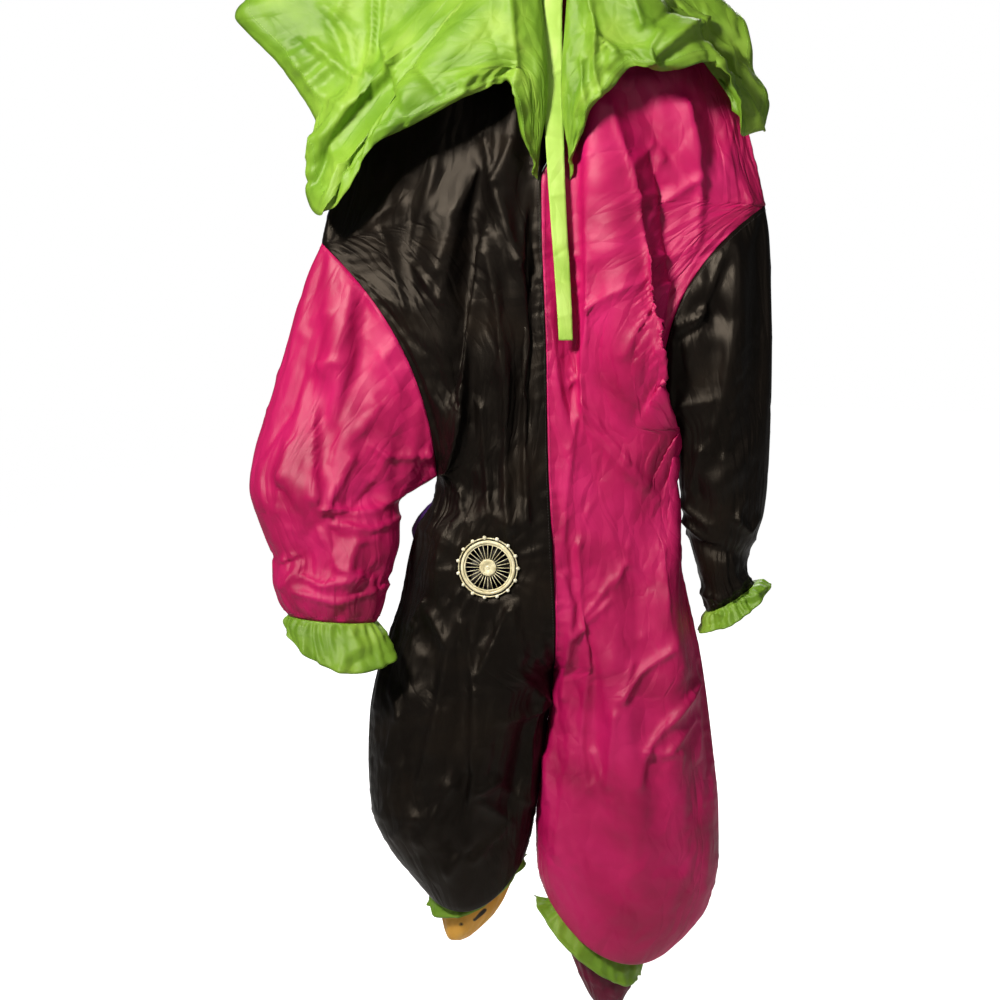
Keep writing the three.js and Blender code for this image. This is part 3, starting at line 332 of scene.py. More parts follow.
# Creases: width on its left and on its right, then the points that it runs through as x, z and height
CREASES = {
    "front_right": [
        (20, 8, (-91, -433, 13), (-118, -603, 18), (-148, -789, 15)),
        (9, 11, (-87, -454, 9), (-68, -645, 10), (-62, -874, 9)),
        (9, 16, (-95, -291, 9), (-51, -495, 15), (-39, -666, 8)),
        (8, 8, (-56, -291, 6), (-76, -352, 8)),
        (9, 8, (-27, -352, 7), (-52, -466, 9)),
        (11, 9, (-16, -487, 7), (-35, -574, 11), (-34, -857, 9)),
        (22, 16, (-109, -335, 9), (-147, -405, 9), (-166, -479, 7)),
        (16, 12, (-171, -335, 6), (-205, -454, 4)),
        (12, 7, (-195, -479, 6), (-164, -526, 3)),
        (8, 14, (-143, -421, 5), (-164, -526, 3)),
        (20, 10, (-250, -425, 8), (-217, -537, 4)),
        (16, 16, (-300, -437, 5), (-236, -388, 6)),
        (9, 8, (-102, -687, 5), (-89, -848, 6)),
        (8, 6, (-148, -789, 5), (-131, -827, 5)),
        (12, 12, (-103, -429, -7), (-123, -708, -6)),
        (10, 10, (-57, -985, 7), (-105, -1096, 6)),
        (8, 8, (-54, -994, 5), (-39, -1067, 4)),
        (9, 7, (-132, -1016, 6), (-107, -1128, 6), (-104, -1204, 5)),
        (14, 9, (-178, -1007, 6), (-150, -1058, 6), (-169, -1150, 6), (-195, -1263, 5)),
        (10, 6, (-209, -1026, 5), (-190, -988, 5)),
        (10, 7, (-42, -1099, 6), (1, -1155, 7), (-70, -1169, 4)),
        (8, 8, (-73, -1169, -4), (-85, -1250, -5)),
        (10, 8, (-113, -1121, 5), (-114, -1279, 6), (-73, -1263, 4)),
        (9, 7, (-101, -1295, 5), (-57, -1334, 4)),
        (26, 18, (-151, -1269, 9), (-196, -1360, 8)),
        (10, 12, (-126, -1250, -7), (-152, -1360, -6)),
        (14, 10, (-223, -1243, 5), (-258, -1327, 4)),
        (10, 10, (-232, -1169, 5), (-251, -1237, 4)),
        (8, 8, (-256, -1102, 5), (-269, -1160, 4)),
        (8, 8, (-241, -1134, 4), (-229, -1166, 3)),
        (12, 10, (-70, -1344, 5), (-114, -1389, 4)),
        (12, 12, (-126, -1360, 5), (-155, -1412, 5)),
        (6, 6, (-11, -1042, 5), (2, -1089, 4)),
        (10, 6, (-13, -1140, 5), (-26, -1204, 5), (-29, -1311, 4)),
        (8, 8, (-70, -1279, 4), (-29, -1308, 4)),
        (12, 12, (-240, -1360, 4), (-208, -1321, 4)),
    ],
    "front_left": [
        (45, 75, (80, -246, 18), (104, -350, 30), (131, -490, 16)),
        (50, 24, (128, -470, 16), (149, -596, 32), (169, -744, 28), (207, -913, 14)),
        (7, 26, (61, -240, 5), (58, -358, 9), (61, -540, 13), (48, -693, 10)),
        (8, 8, (60, -538, 5), (117, -499, 2)),
        (6, 6, (109, -605, 3), (131, -529, 3)),
        (8, 12, (43, -704, 4), (124, -794, 5), (161, -833, 3)),
        (8, 8, (52, -681, 5), (115, -767, 6), (142, -803, 3)),
        (14, 7, (202, -241, 8), (224, -345, 9), (223, -437, 4)),
        (20, 8, (168, -319, 5), (125, -450, 3)),
        (8, 8, (111, -328, 4), (150, -297, 3)),
        (7, 8, (112, -380, 5), (142, -371, 2)),
        (9, 7, (147, -402, 4), (217, -349, 5)),
        (7, 7, (135, -468, 5), (188, -459, 4)),
        (7, 7, (135, -512, 6), (179, -503, 4)),
        (6, 6, (140, -543, 5), (179, -503, 3)),
        (5, 5, (30, -457, 4), (50, -463, 3)),
        (5, 5, (33, -481, 4), (44, -499, 3)),
        (5, 5, (31, -512, 4), (44, -516, 3)),
        (5, 5, (33, -632, 4), (45, -648, 3)),
        (5, 5, (29, -652, 4), (45, -641, 3)),
        (14, 10, (38, -704, 4), (17, -913, 5)),
        (6, 6, (19, -349, 4), (32, -446, 4)),
        (20, 14, (252, -297, 4), (302, -380, 3)),
        (8, 10, (46, -894, 6), (51, -1013, 6), (64, -1089, 7), (56, -1158, 6), (52, -1210, 5),
         (61, -1279, 4)),
        (8, 6, (21, -945, 5), (34, -991, 5), (26, -1141, 5)),
        (6, 6, (96, -949, 4), (67, -991, 4), (38, -1034, 3)),
        (5, 5, (92, -983, 3), (38, -1038, 4)),
        (6, 6, (100, -958, 3), (117, -924, 4), (142, -941, 2)),
        (26, 22, (170, -911, 8), (184, -1025, 8), (210, -1098, 5)),
        (5, 10, (240, -1117, 8), (207, -1145, 9), (149, -1214, 6)),
        (7, 6, (185, -1062, 6), (139, -1094, 6), (114, -1132, 4)),
        (6, 6, (126, -1081, 4), (114, -1136, 3)),
        (7, 7, (149, -1216, 5), (139, -1266, 4)),
        (5, 6, (149, -1216, 3), (208, -1223, 2)),
        (8, 7, (102, -1158, 5), (94, -1270, 4)),
        (8, 6, (224, -1175, 5), (182, -1223, 4)),
        (6, 6, (236, -1175, 5), (235, -1236, 3)),
        (8, 8, (-3, -1240, 6), (2, -1305, 4)),
        (6, 6, (73, -1223, 4), (82, -1262, 3)),
        (10, 10, (99, -1297, 4), (108, -1340, 3)),
        (20, 20, (15, -1349, 3), (11, -1419, 3)),
    ],
    "back_right": [
        (18, 10, (-40, -120, 5), (-60, -420, 8), (-45, -760, 5)),
        (10, 16, (-120, -160, 5), (-105, -500, 8), (-90, -820, 6)),
        (9, 9, (-200, -260, 5), (-170, -480, 6), (-150, -640, 4)),
        (8, 8, (-90, -880, 5), (-130, -1010, 6), (-120, -1120, 5)),
        (12, 8, (-30, -1000, 5), (-70, -1180, 6), (-60, -1320, 4)),
        (16, 9, (-220, -1100, 6), (-180, -1280, 6), (-130, -1380, 4)),
        (7, 7, (-240, -1160, 4), (-200, -1220, 4)),
    ],
    "back_left": [
        (10, 18, (50, -140, 5), (66, -430, 8), (40, -700, 5)),
        (14, 9, (150, -180, 6), (120, -480, 8), (130, -690, 5)),
        (9, 9, (230, -230, 4), (200, -420, 6), (180, -560, 4)),
        (8, 12, (60, -820, 5), (110, -990, 6), (90, -1150, 5)),
        (8, 8, (180, -900, 5), (170, -1050, 6), (200, -1190, 4)),
        (14, 10, (60, -1240, 5), (110, -1400, 5), (150, -1480, 4)),
        (7, 7, (230, -1260, 4), (190, -1330, 4)),
    ],
}
# The spacing of a front's and a back's rows, and their number of columns
PANEL_CELLS = {-1: (8.4, 44), 1: (10.5, 36)}
# How far in from a seam or a hem the folds and creases fade, as a share of the width or in millimetres
EDGE, HEM_FOLDS, SEAM_CREASES, HEM_CREASES = 0.14, 80, 22, 18


def part_way(values, knots, step):
    """Rows about a step apart between the given ones."""
    count = max(2, round((knots[-1] - knots[0]) / step) + 1)
    return through(knots, values, np.linspace(knots[0], knots[-1], count))


def armhole_seam(hand, angle):
    """The armhole's seam at angles from the shoulder tip: its points in x and z."""
    tip, underarm = np.array(TIPS[hand], float), np.array(UNDERARMS[hand], float)
    chord = underarm - tip
    along = chord / np.linalg.norm(chord)
    across = np.array((-along[1], along[0])) * TOWARDS[hand]
    share = (1 - np.cos(angle)) / 2
    return tip + share[:, None] * chord + (BOWS[hand] * np.sin(angle) ** 2)[:, None] * across


def body_sections(hand, step):
    """One half of the body: inner x z of the front and the back, outer x z, depths, openness and droop."""
    sign = -1 if hand == "right" else 1
    slit, side = (1, 5) if hand == "right" else (2, 7)
    rows = [
        (row[slit], row[0], NECK_X + sign * HALF_SEAM, row[0], row[side], row[side + 1], row[3], row[4],
         1, 0, 0)
        for row in SHOULDER
    ]
    angles = np.linspace(0, np.pi, ARMHOLE_SECTIONS)
    centre = through(-CENTRE[:, 0], CENTRE, np.linspace(-CENTRE[0, 0], -CENTRE[-1, 0], ARMHOLE_SECTIONS))
    for angle, edge, (z, x, front, back) in zip(angles, armhole_seam(hand, angles), centre):
        x += sign * HALF_SEAM
        rows.append((x, z, x, z, *edge, front, back, 1, ARMHOLE_DEPTH * np.sin(angle), 0))
    for side_x, side_z, inner_x, inner_z, front, back, opened, droop in LEGS[hand]:
        gap = HALF_SEAM if opened > 0.5 else LEG_GAP
        x = inner_x + sign * gap
        rows.append((x, inner_z, x, inner_z, side_x, side_z, front, back, opened, 0, droop))
    rows = np.array(rows)
    middle = (rows[:, 0:2] + rows[:, 4:6]) / 2
    return part_way(rows, lengths(middle), step)


# How much of the droop a back has, and how it rounds off towards the seams
BACK_DROOP, DROOP_ROUND = 0.7, 1.8


def section_grid(rows, columns, side):
    """Points and outward directions over sections that are parts of ellipses."""
    inner = rows[:, 0:2] if side < 0 else rows[:, 2:4]
    depth = rows[:, 6] if side < 0 else rows[:, 7]
    tiny = HALF_SEAM / depth
    start = np.arcsin(np.clip(rows[:, 8], tiny, 1))
    end = np.pi - np.arcsin(np.clip(rows[:, 9] / depth, tiny, 1))
    angle = start[:, None] + (end - start)[:, None] * np.linspace(0, 1, columns)
    reach = (np.cos(start) - np.cos(end))[:, None]
    share = (np.cos(start)[:, None] - np.cos(angle)) / reach
    chord = rows[:, 4:6] - inner
    droop = rows[:, 10:11] * (1 if side < 0 else BACK_DROOP)
    grid = np.stack([
        inner[:, :1] + chord[:, :1] * share,
        side * depth[:, None] * np.sin(angle),
        inner[:, 1:] + chord[:, 1:] * share - droop * np.sin(angle) ** DROOP_ROUND,
    ], axis=-1)
    length = np.linalg.norm(chord, axis=1)[:, None]
    outs = np.stack([
        -chord[:, :1] / length * depth[:, None] * np.cos(angle),
        side * length / reach * np.sin(angle),
        -chord[:, 1:] / length * depth[:, None] * np.cos(angle),
    ], axis=-1)
    return grid, outs / np.linalg.norm(outs, axis=-1, keepdims=True)


def normals_of(grid, outs, closed=False):
    """Directions square to a grid of points, on the side that outs point to."""
    down = np.gradient(grid, axis=0)
    if closed:
        across = np.roll(grid, -1, axis=1) - np.roll(grid, 1, axis=1)
    else:
        across = np.gradient(grid, axis=1)
    normals = np.cross(down, across)
    normals /= np.maximum(np.linalg.norm(normals, axis=-1, keepdims=True), 1e-9)
    return normals if (normals * outs).sum() > 0 else -normals


# Long folds sink at their ends: how much, from what length on and over what length, and over what end share
TAPER, TAPER_FROM, TAPER_OVER, TAPER_END = 0.75, 40, 60, 0.35


def soft_folds(folds, grid):
    """The height of broad rounded folds over a grid of points, each from one point to another."""
    x, z = grid[..., 0], grid[..., 2]
    height = np.zeros_like(x)
    for x1, z1, x2, z2, width, high in folds:
        dx, dz = x2 - x1, z2 - z1
        t = np.clip(((x - x1) * dx + (z - z1) * dz) / (dx * dx + dz * dz), 0, 1)
        taper = TAPER * smooth((math.hypot(dx, dz) - TAPER_FROM) / TAPER_OVER)
        there = high * (1 - taper * (1 - smooth(t / TAPER_END) * smooth((1 - t) / TAPER_END)))
        height += there * np.exp(-((x - x1 - t * dx) ** 2 + (z - z1 - t * dz) ** 2) / width ** 2)
    return height


# How round a crease's crest is, how fast its sides fall, and how much bolder the charted creases are
CREST, CREASE_FALL, BOLD = 2.0, 1.5, 1.3


def creases_over(creases, grid):
    """The height of narrow creases over a grid. Each runs through points and may be steeper on one side."""
    x, z = grid[..., 0], grid[..., 2]
    height = np.zeros_like(x)
    for left, right, *points in creases:
        nearest = np.full(x.shape, 1e9)
        own = np.zeros_like(x)
        for (x1, z1, h1), (x2, z2, h2) in zip(points[:-1], points[1:]):
            dx, dz = x2 - x1, z2 - z1
            t = np.clip(((x - x1) * dx + (z - z1) * dz) / (dx * dx + dz * dz), 0, 1)
            away = np.hypot(x - x1 - t * dx, z - z1 - t * dz)
            side = np.where(dx * (z - z1) - dz * (x - x1) > 0, 1, -1) * (1 if dz < 0 else -1)
            width = np.where(side > 0, right, left)
            fall = (np.hypot(away, CREST) - CREST) / width * CREASE_FALL
            there = (h1 + (h2 - h1) * t) * np.exp(-fall)
            own = np.where(away < nearest, there, own)
            nearest = np.minimum(nearest, away)
        height += own
    return height


# The shortest and longest, and the narrowest and widest, of the strewn creases
STREWN_LONG, STREWN_WIDE = (18, 100), (4, 9)


def random_creases(seed, count, box, lean, high):
    """Small creases strewn over a box of x and z. Most keep within the angle lean off upright."""
    draw = np.random.default_rng(seed)
    made = []
    for _ in range(count):
        x, z = draw.uniform(box[0], box[1]), draw.uniform(box[2], box[3])
        turn, long = math.radians(draw.normal(0, lean)), draw.uniform(*STREWN_LONG)
        width, tall = draw.uniform(*STREWN_WIDE), draw.uniform(0.5, 1) * high * draw.choice((1, 1, -1))
        bend = draw.uniform(-0.25, 0.25) * long
        dx, dz = math.sin(turn), -math.cos(turn)
        made.append((width, width * draw.uniform(0.7, 1.5), (x, z, tall * 0.4),
                     (x + dx * long / 2 - dz * bend, z + dz * long / 2 + dx * bend, tall),
                     (x + dx * long, z + dz * long, tall * 0.4)))
    return made


def finer(grid, factor, closed=False):
    """The grid again, with points a factor closer together, on smooth curves through the old ones."""
    def along(values, wrap):
        if wrap:
            values = np.concatenate([values[-2:], values, values[:3]])
            at = np.arange(2, len(values) - 3, 1 / factor)
        else:
            values = np.concatenate([2 * values[:1] - values[1:2], values, 2 * values[-1:] - values[-2:-1]])
            at = np.linspace(1, len(values) - 2, (len(values) - 3) * factor + 1)
        k = np.minimum(np.floor(at + 1e-9).astype(int), len(values) - 3)
        t = (at - k).reshape((-1,) + (1,) * (values.ndim - 1))
        before, start, end, after = (values[k + shift] for shift in (-1, 0, 1, 2))
        return start + t / 2 * (end - before + t * (2 * before - 5 * start + 4 * end - after
                                                    + t * (3 * (start - end) + after - before)))
    return along(along(grid, False).swapaxes(0, 1), closed).swapaxes(0, 1)


SETTLE_FRAMES = 22


def settle(grid, outs, pinned, closed=False, grow=(1.05, 1.05, 1.01), cap=14, gravity=0.2):
    """Lets cloth that was cut larger than its seams hold it fall into folds of its own.
    Pinned points stay put. grow is how much larger the cut is along x, y and z."""
    piece = cloth_object("settling", grid, outs, CLOTH, None, closed)
    piece.modifiers.clear()
    piece.shape_key_add(name="Basis")
    cut = piece.shape_key_add(name="cut")
    middle = grid.reshape(-1, 3).mean(axis=0)
    larger = ((grid - middle) * np.array(grow) + middle) * MM
    cut.data.foreach_set("co", larger.astype(np.float32).ravel())
    pins = piece.vertex_groups.new(name="pins")
    pins.add(np.flatnonzero(pinned.ravel()).tolist(), 1.0, "REPLACE")
    cloth = piece.modifiers.new("drape", "CLOTH")
    cloth.settings.rest_shape_key = cut
    cloth.settings.quality = 4
    cloth.settings.mass = 0.08
    cloth.settings.tension_stiffness = 12
    cloth.settings.compression_stiffness = 12
    cloth.settings.shear_stiffness = 3
    cloth.settings.bending_stiffness = 0.02
    cloth.settings.air_damping = 2
    cloth.settings.vertex_group_mass = "pins"
    cloth.settings.effector_weights.gravity = gravity
    cloth.collision_settings.use_collision = False
    cloth.collision_settings.use_self_collision = False
    cloth.point_cache.frame_start = 1
    cloth.point_cache.frame_end = SETTLE_FRAMES
    for number in range(1, SETTLE_FRAMES + 1):
        bpy.context.scene.frame_set(number)
    shape = piece.evaluated_get(bpy.context.evaluated_depsgraph_get()).to_mesh()
    moved = np.zeros(len(shape.vertices) * 3, np.float32)
    shape.vertices.foreach_get("co", moved)
    moved = moved.reshape(grid.shape).astype(float) / MM - grid
    mesh = piece.data
    bpy.data.objects.remove(piece)
    bpy.data.meshes.remove(mesh)
    bpy.context.scene.frame_set(1)
    far = np.linalg.norm(moved, axis=-1, keepdims=True)
    return grid + moved * np.tanh(far / cap) * cap / np.maximum(far, 1e-6)


PUCKER_WAVES = (2.9, 4.3, 7.1)


def puckers(distance, along, seed, high=1.0, reach=13):
    """Small waves along a seam, from how far each point is from it and how far along it lies."""
    draw = np.random.default_rng(seed)
    wave = sum(np.sin(along / length + draw.uniform(0, 6.3)) for length in PUCKER_WAVES)
    return high * wave / 2 * np.exp(-distance / reach) * smooth(distance / 3)


def seat_fan(grid):
    """Draws the cloth flat round the fan."""
    away = np.hypot(grid[..., 0] - FAN.x, grid[..., 2] - FAN.z)
    plane = FAN.y - (grid[..., 0] - FAN.x) * math.tan(FAN_TURN)
    share = 1 - smooth((away - FAN_FLAT) / (FAN_FADE - FAN_FLAT))
    grid[..., 1] += (plane - grid[..., 1]) * share
    return share


# Folds round the fan: how far out they are highest and start, and where the panel's own creases come back
FAN_RIM, RAYS_FROM, RAYS_RISE, FAN_CLEAR = 52, 47, 8, 25
RAY_TURN, RAY_LONG, RAY_HIGH, RAY_WIDE = math.pi / 9, (30, 80), (2, 4.5), 7


def radiating(grid, seed=4):
    """Folds that run out from the fan's ring."""
    draw = np.random.default_rng(seed)
    angle = np.arctan2(grid[..., 2] - FAN.z, grid[..., 0] - FAN.x)
    away = np.hypot(grid[..., 0] - FAN.x, grid[..., 2] - FAN.z)
    height = np.zeros_like(away)
    for turn in np.arange(-math.pi, math.pi, RAY_TURN):
        turn += draw.uniform(-0.12, 0.12)
        aside = np.abs((angle - turn + math.pi) % (2 * math.pi) - math.pi) * away
        long = draw.uniform(*RAY_LONG) * (0.5 + abs(math.sin(turn)))
        reach = np.exp(-((away - FAN_RIM) / long) ** 2)
        height += draw.uniform(*RAY_HIGH) * np.exp(-aside / RAY_WIDE) * reach
    return height * smooth((away - RAYS_FROM) / RAYS_RISE)


def panel_piece(name, hand, side, material, strewn):
    """One panel of the body: sections, broad folds, settling, then creases and puckers at its seams."""
    step, columns = PANEL_CELLS[side]
    rows = body_sections(hand, step)
    grid, outs = section_grid(rows, columns, side)
    across = np.linspace(0, 1, columns)
    down = lengths((rows[:, 0:2] + rows[:, 4:6]) / 2)
    hem = np.minimum(down, down[-1] - down)
    fade = smooth(np.minimum(across, 1 - across) / EDGE) * smooth(hem / HEM_FOLDS)[:, None]
    grid += outs * (soft_folds(BIG_FOLDS[name], grid) * fade)[..., None]
    pinned = np.zeros(grid.shape[:2], bool)
    pinned[:, [0, -1]] = True
    pinned[[0, -1]] = True
    has_fan = name == "front_right"
    if has_fan:
        pinned |= seat_fan(grid) > FAN_HELD
    grid = settle(grid, outs, pinned)
    grid = finer(grid, 2)
    outs = normals_of(grid, finer(outs, 2))
    width = lengths(grid[len(grid) // 2])
    from_seam = np.minimum(width, width[-1] - width)
    along = lengths(grid[:, columns])
    height = BOLD * creases_over(CREASES[name], grid)
    height += creases_over(strewn, grid)
    height *= smooth(from_seam / SEAM_CREASES)
    height += puckers(from_seam[None, :], along[:, None], len(name) + len(strewn))
    if has_fan:
        away = np.hypot(grid[..., 0] - FAN.x, grid[..., 2] - FAN.z)
        height = height * smooth((away - FAN_RIM) / FAN_CLEAR) + radiating(grid)
    height *= smooth(np.minimum(along, along[-1] - along) / HEM_CREASES)[:, None]
    grid = grid + outs * height[..., None]
    return cloth_object(name + "_cloth", grid, outs, CLOTH, material), grid, outs


def cut_fan_hole(piece):
    """Cuts a round hole through the cloth where the fan is clamped."""
    bpy.ops.mesh.primitive_cylinder_add(vertices=72, radius=FAN_HOLE * MM, depth=0.12, location=FAN * MM,
                                        rotation=(math.pi / 2, 0, -FAN_TURN))
    cutter = bpy.context.active_object
    hole = piece.modifiers.new("hole", "BOOLEAN")
    hole.operation = "DIFFERENCE"
    hole.object = cutter
    bpy.context.view_layer.update()
    cut = bpy.data.meshes.new_from_object(piece.evaluated_get(bpy.context.evaluated_depsgraph_get()))
    piece.modifiers.clear()
    piece.data = cut
    bpy.data.objects.remove(cutter)


def sewn(piece, node):
    """Hides the node that a cloth piece stands for and hangs the piece on the suit's body."""
    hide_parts(node)
    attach(piece, "suit")


black_nylon = nylon("black_nylon", (0.002, 0.0014, 0.0012), (0.004, 0.003, 0.0025), (0.009, 0.006, 0.004),
                    glint=(1, 0.86, 0.70), roughness=0.38, sheen=0.0, shine=0.19, crumple=0.0034, grain=2.6)
magenta_nylon = nylon("magenta_nylon", (0.28, 0.0008, 0.05), (0.42, 0.003, 0.085), (0.52, 0.008, 0.12))
purple_nylon = nylon("purple_nylon", (0.03, 0.003, 0.09), (0.045, 0.006, 0.13), (0.065, 0.012, 0.17))

STREWN_BOXES = {"right": (-260, 0, -1420, -120), "left": (0, 260, -1500, -120)}
STREWN_COUNT, STREWN_LEAN, STREWN_HIGH = 70, 26, 2.6
seams = {}
for name, hand, side, material, slot, seed, flat, area in (
    ("front_right", "right", -1, black_nylon, "black_nylon", 11, (0.42, 1.56), 0.44),
    ("front_left", "left", -1, magenta_nylon, "magenta_nylon", 12, (0.42, 1.66), 0.46),
    ("back_right", "right", 1, purple_nylon, "purple_nylon", 13, (0.42, 1.56), 0.44),
    ("back_left", "left", 1, magenta_nylon, "magenta_nylon", 14, (0.42, 1.66), 0.46),
):
    strewn = random_creases(seed, STREWN_COUNT, STREWN_BOXES[hand], STREWN_LEAN, STREWN_HIGH)
    piece, grid, outs = panel_piece(name, hand, side, material, strewn)
    seams[name] = (grid, outs)
    if name == "front_right":
        cut_fan_hole(piece)
    sewn(piece, name)

# Sleeves
# Full balloon sleeves, one magenta and one black. Each is a single tube, sewn into its armhole and gathered
# at the wrist.
SLEEVES = {
    # outer x, outer z, inner x, inner z, depth, bow, y
    "right": np.array([
        (-345, -442, -171, -797, 60, 42, 0),
        (-368, -490, -181, -803, 66, 38, 0),
        (-388, -550, -191, -808, 71, 33, 0),
        (-410, -622, -202, -812, 76, 27, -4),
        (-434, -700, -213, -817, 80, 20, -8),
        (-457, -770, -225, -824, 82, 12, -14),
        (-461, -812, -233, -838, 80, 5, -22),
        (-449, -852, -231, -866, 76, 0, -30),
        (-434, -888, -230, -894, 72, 0, -38),
        (-421, -920, -237, -924, 66, 0, -46),
        (-421, -948, -246, -956, 62, 0, -54),
        (-413, -980, -252, -988, 54, 0, -60),
        (-398, -1004, -262, -1014, 40, 0, -64),
    ], float),
    "left": np.array([
        (328, -385, 176, -718, 60, 60, 0),
        (336, -432, 184, -725, 63, 52, 0),
        (340, -500, 191, -733, 65, 42, 0),
        (343, -574, 197, -745, 66, 32, 0),
        (344, -655, 202, -764, 66, 22, 2),
        (343, -725, 206, -792, 64, 13, 4),
        (341, -795, 210, -826, 62, 6, 6),
        (336, -850, 215, -862, 60, 0, 8),
        (325, -888, 222, -895, 58, 0, 10),
        (313, -916, 230, -928, 54, 0, 10),
        (308, -938, 238, -962, 50, 0, 10),
        (314, -955, 244, -993, 45, 0, 10),
        (323, -968, 249, -1014, 38, 0, 10),
    ], float),
}
SLEEVE_FOLDS = {
    "right": ([(-330, -490, -300, -700, 30, 12), (-355, -620, -345, -770, 26, -12),
               (-420, -760, -330, -830, 24, 14), (-240, -800, -330, -850, 20, -13),
               (-300, -880, -310, -970, 18, 10), (-370, -880, -365, -970, 18, -9)],
              [(-300, -560, -290, -780, 34, 12), (-400, -780, -300, -830, 24, -12)]),
    "left": ([(290, -430, 280, -700, 26, 12), (205, -520, 270, -560, 18, -11),
              (300, -760, 235, -830, 22, 11), (240, -900, 305, -920, 14, -8)],
             [(270, -450, 270, -760, 30, 12), (300, -800, 230, -850, 20, -10)]),
}
SLEEVE_CREASES = {
    "right": [
        (16, 9, (-291, -467, 7), (-304, -568, 8), (-335, -631, 4)),
        (20, 20, (-274, -513, -7), (-284, -627, -9), (-314, -699, -8), (-341, -768, -5)),
        (5, 5, (-358, -635, 5), (-339, -621, 6), (-311, -618, 4)),
        (18, 8, (-371, -631, -6), (-391, -691, -8), (-439, -763, -5)),
        (7, 6, (-335, -631, 6), (-355, -699, 7), (-354, -789, 7), (-350, -819, 5)),
        (10, 10, (-259, -682, 6), (-281, -720, 5)),
        (6, 6, (-266, -744, 3), (-243, -763, 5), (-181, -763, 6)),
        (7, 10, (-298, -763, 6), (-337, -834, 8)),
        (8, 5, (-337, -834, 8), (-295, -847, 7), (-260, -843, 5), (-170, -789, 6)),
        (4, 4, (-264, -789, 3), (-303, -836, 3)),
        (10, 8, (-392, -742, 6), (-401, -789, 6), (-410, -849, 5)),
        (8, 8, (-401, -789, 4), (-359, -854, 3)),
        (6, 6, (-354, -819, 6), (-333, -858, 5), (-269, -871, 5), (-226, -858, 4)),
        (7, 7, (-338, -871, 5), (-317, -923, 5), (-270, -945, 4)),
        (5, 5, (-300, -923, 4), (-291, -888, 4), (-261, -886, 2)),
        (7, 7, (-375, -941, 6), (-339, -952, 7), (-296, -941, 4)),
        (8, 7, (-382, -963, 5), (-318, -976, 6), (-244, -958, 5)),
        (5, 5, (-305, -963, 4), (-287, -936, 3)),
        (6, 6, (-403, -919, 5), (-377, -906, 4)),
        (8, 6, (-403, -958, 6), (-373, -923, 5)),
        (8, 8, (-359, -530, 3), (-376, -576, 4), (-364, -585, 2)),
        (5, 5, (-334, -543, 3), (-355, -559, 2)),
        (8, 8, (-224, -576, 4), (-259, -627, 3)),
        (9, 9, (-250, -610, 3), (-225, -665, 4)),
    ],
    "left": [
        (7, 7, (224, -440, 5), (229, -553, 5)),
        (12, 7, (264, -440, 6), (240, -515, 7), (226, -557, 6)),
        (6, 6, (226, -565, -6), (199, -582, -5), (176, -580, -3)),
        (7, 5, (222, -555, 6), (194, -570, 6), (171, -571, 4)),
        (10, 8, (186, -582, 5), (186, -713, 5), (193, -798, 4)),
        (30, 12, (281, -444, 5), (278, -565, 6), (263, -670, 6), (244, -755, 4)),
        (10, 10, (196, -690, 4), (247, -677, 4)),
        (8, 8, (231, -755, 5), (219, -815, 4)),
        (8, 8, (265, -768, 3), (277, -704, 3)),
        (8, 6, (202, -837, 6), (245, -871, 4)),
        (6, 5, (211, -867, 6), (237, -889, 6), (261, -897, 3)),
        (6, 6, (286, -858, 6), (309, -880, 6), (322, -863, 4)),
        (8, 6, (234, -980, 5), (268, -988, 5), (306, -958, 4)),
        (8, 8, (296, -833, 4), (288, -863, 3)),
    ],
}


# The box of x and z that small creases are strewn over, and the gathers above the wrist
SLEEVE_BOXES = {"right": (-440, -200, -1004, -480), "left": (190, 335, -968, -430)}
SLEEVE_STEP, SLEEVE_COLUMNS, SLEEVE_HEM, SLEEVE_FOLDS_FADE = 8.4, 60, 12, 50
GATHERS = {"count": 13, "sway": 0.6, "sways": 4, "reach": 26, "high": 3.5, "rise": 8}


def loops_round(rows, columns):
    """The angle and the loop's measures at each point of a grid round a limb."""
    shape = (len(rows), columns)
    angle = np.broadcast_to(np.arange(columns) * 2 * np.pi / columns, shape)
    return angle, np.broadcast_to(rows[:, None], shape + rows.shape[1:])


def loop_points(ring, angle):
    """A flat loop round a limb: angle 0 is its outer edge, and its front half comes first."""
    outer = np.stack([ring[..., 0], ring[..., 6], ring[..., 1]], -1)
    inner = np.stack([ring[..., 2], ring[..., 6], ring[..., 3]], -1)
    middle, half = (outer + inner) / 2, (outer - inner) / 2
    width = np.linalg.norm(half, axis=-1, keepdims=True)
    along = half / width
    cosine, sine = np.cos(angle)[..., None], np.sin(angle)[..., None]
    forward = np.array((0, -1, 0))
    points = middle + half * cosine + ring[..., 4:5] * sine * forward
    outs = along * ring[..., 4:5] * cosine + width * sine * forward
    return points, outs / np.linalg.norm(outs, axis=-1, keepdims=True), along


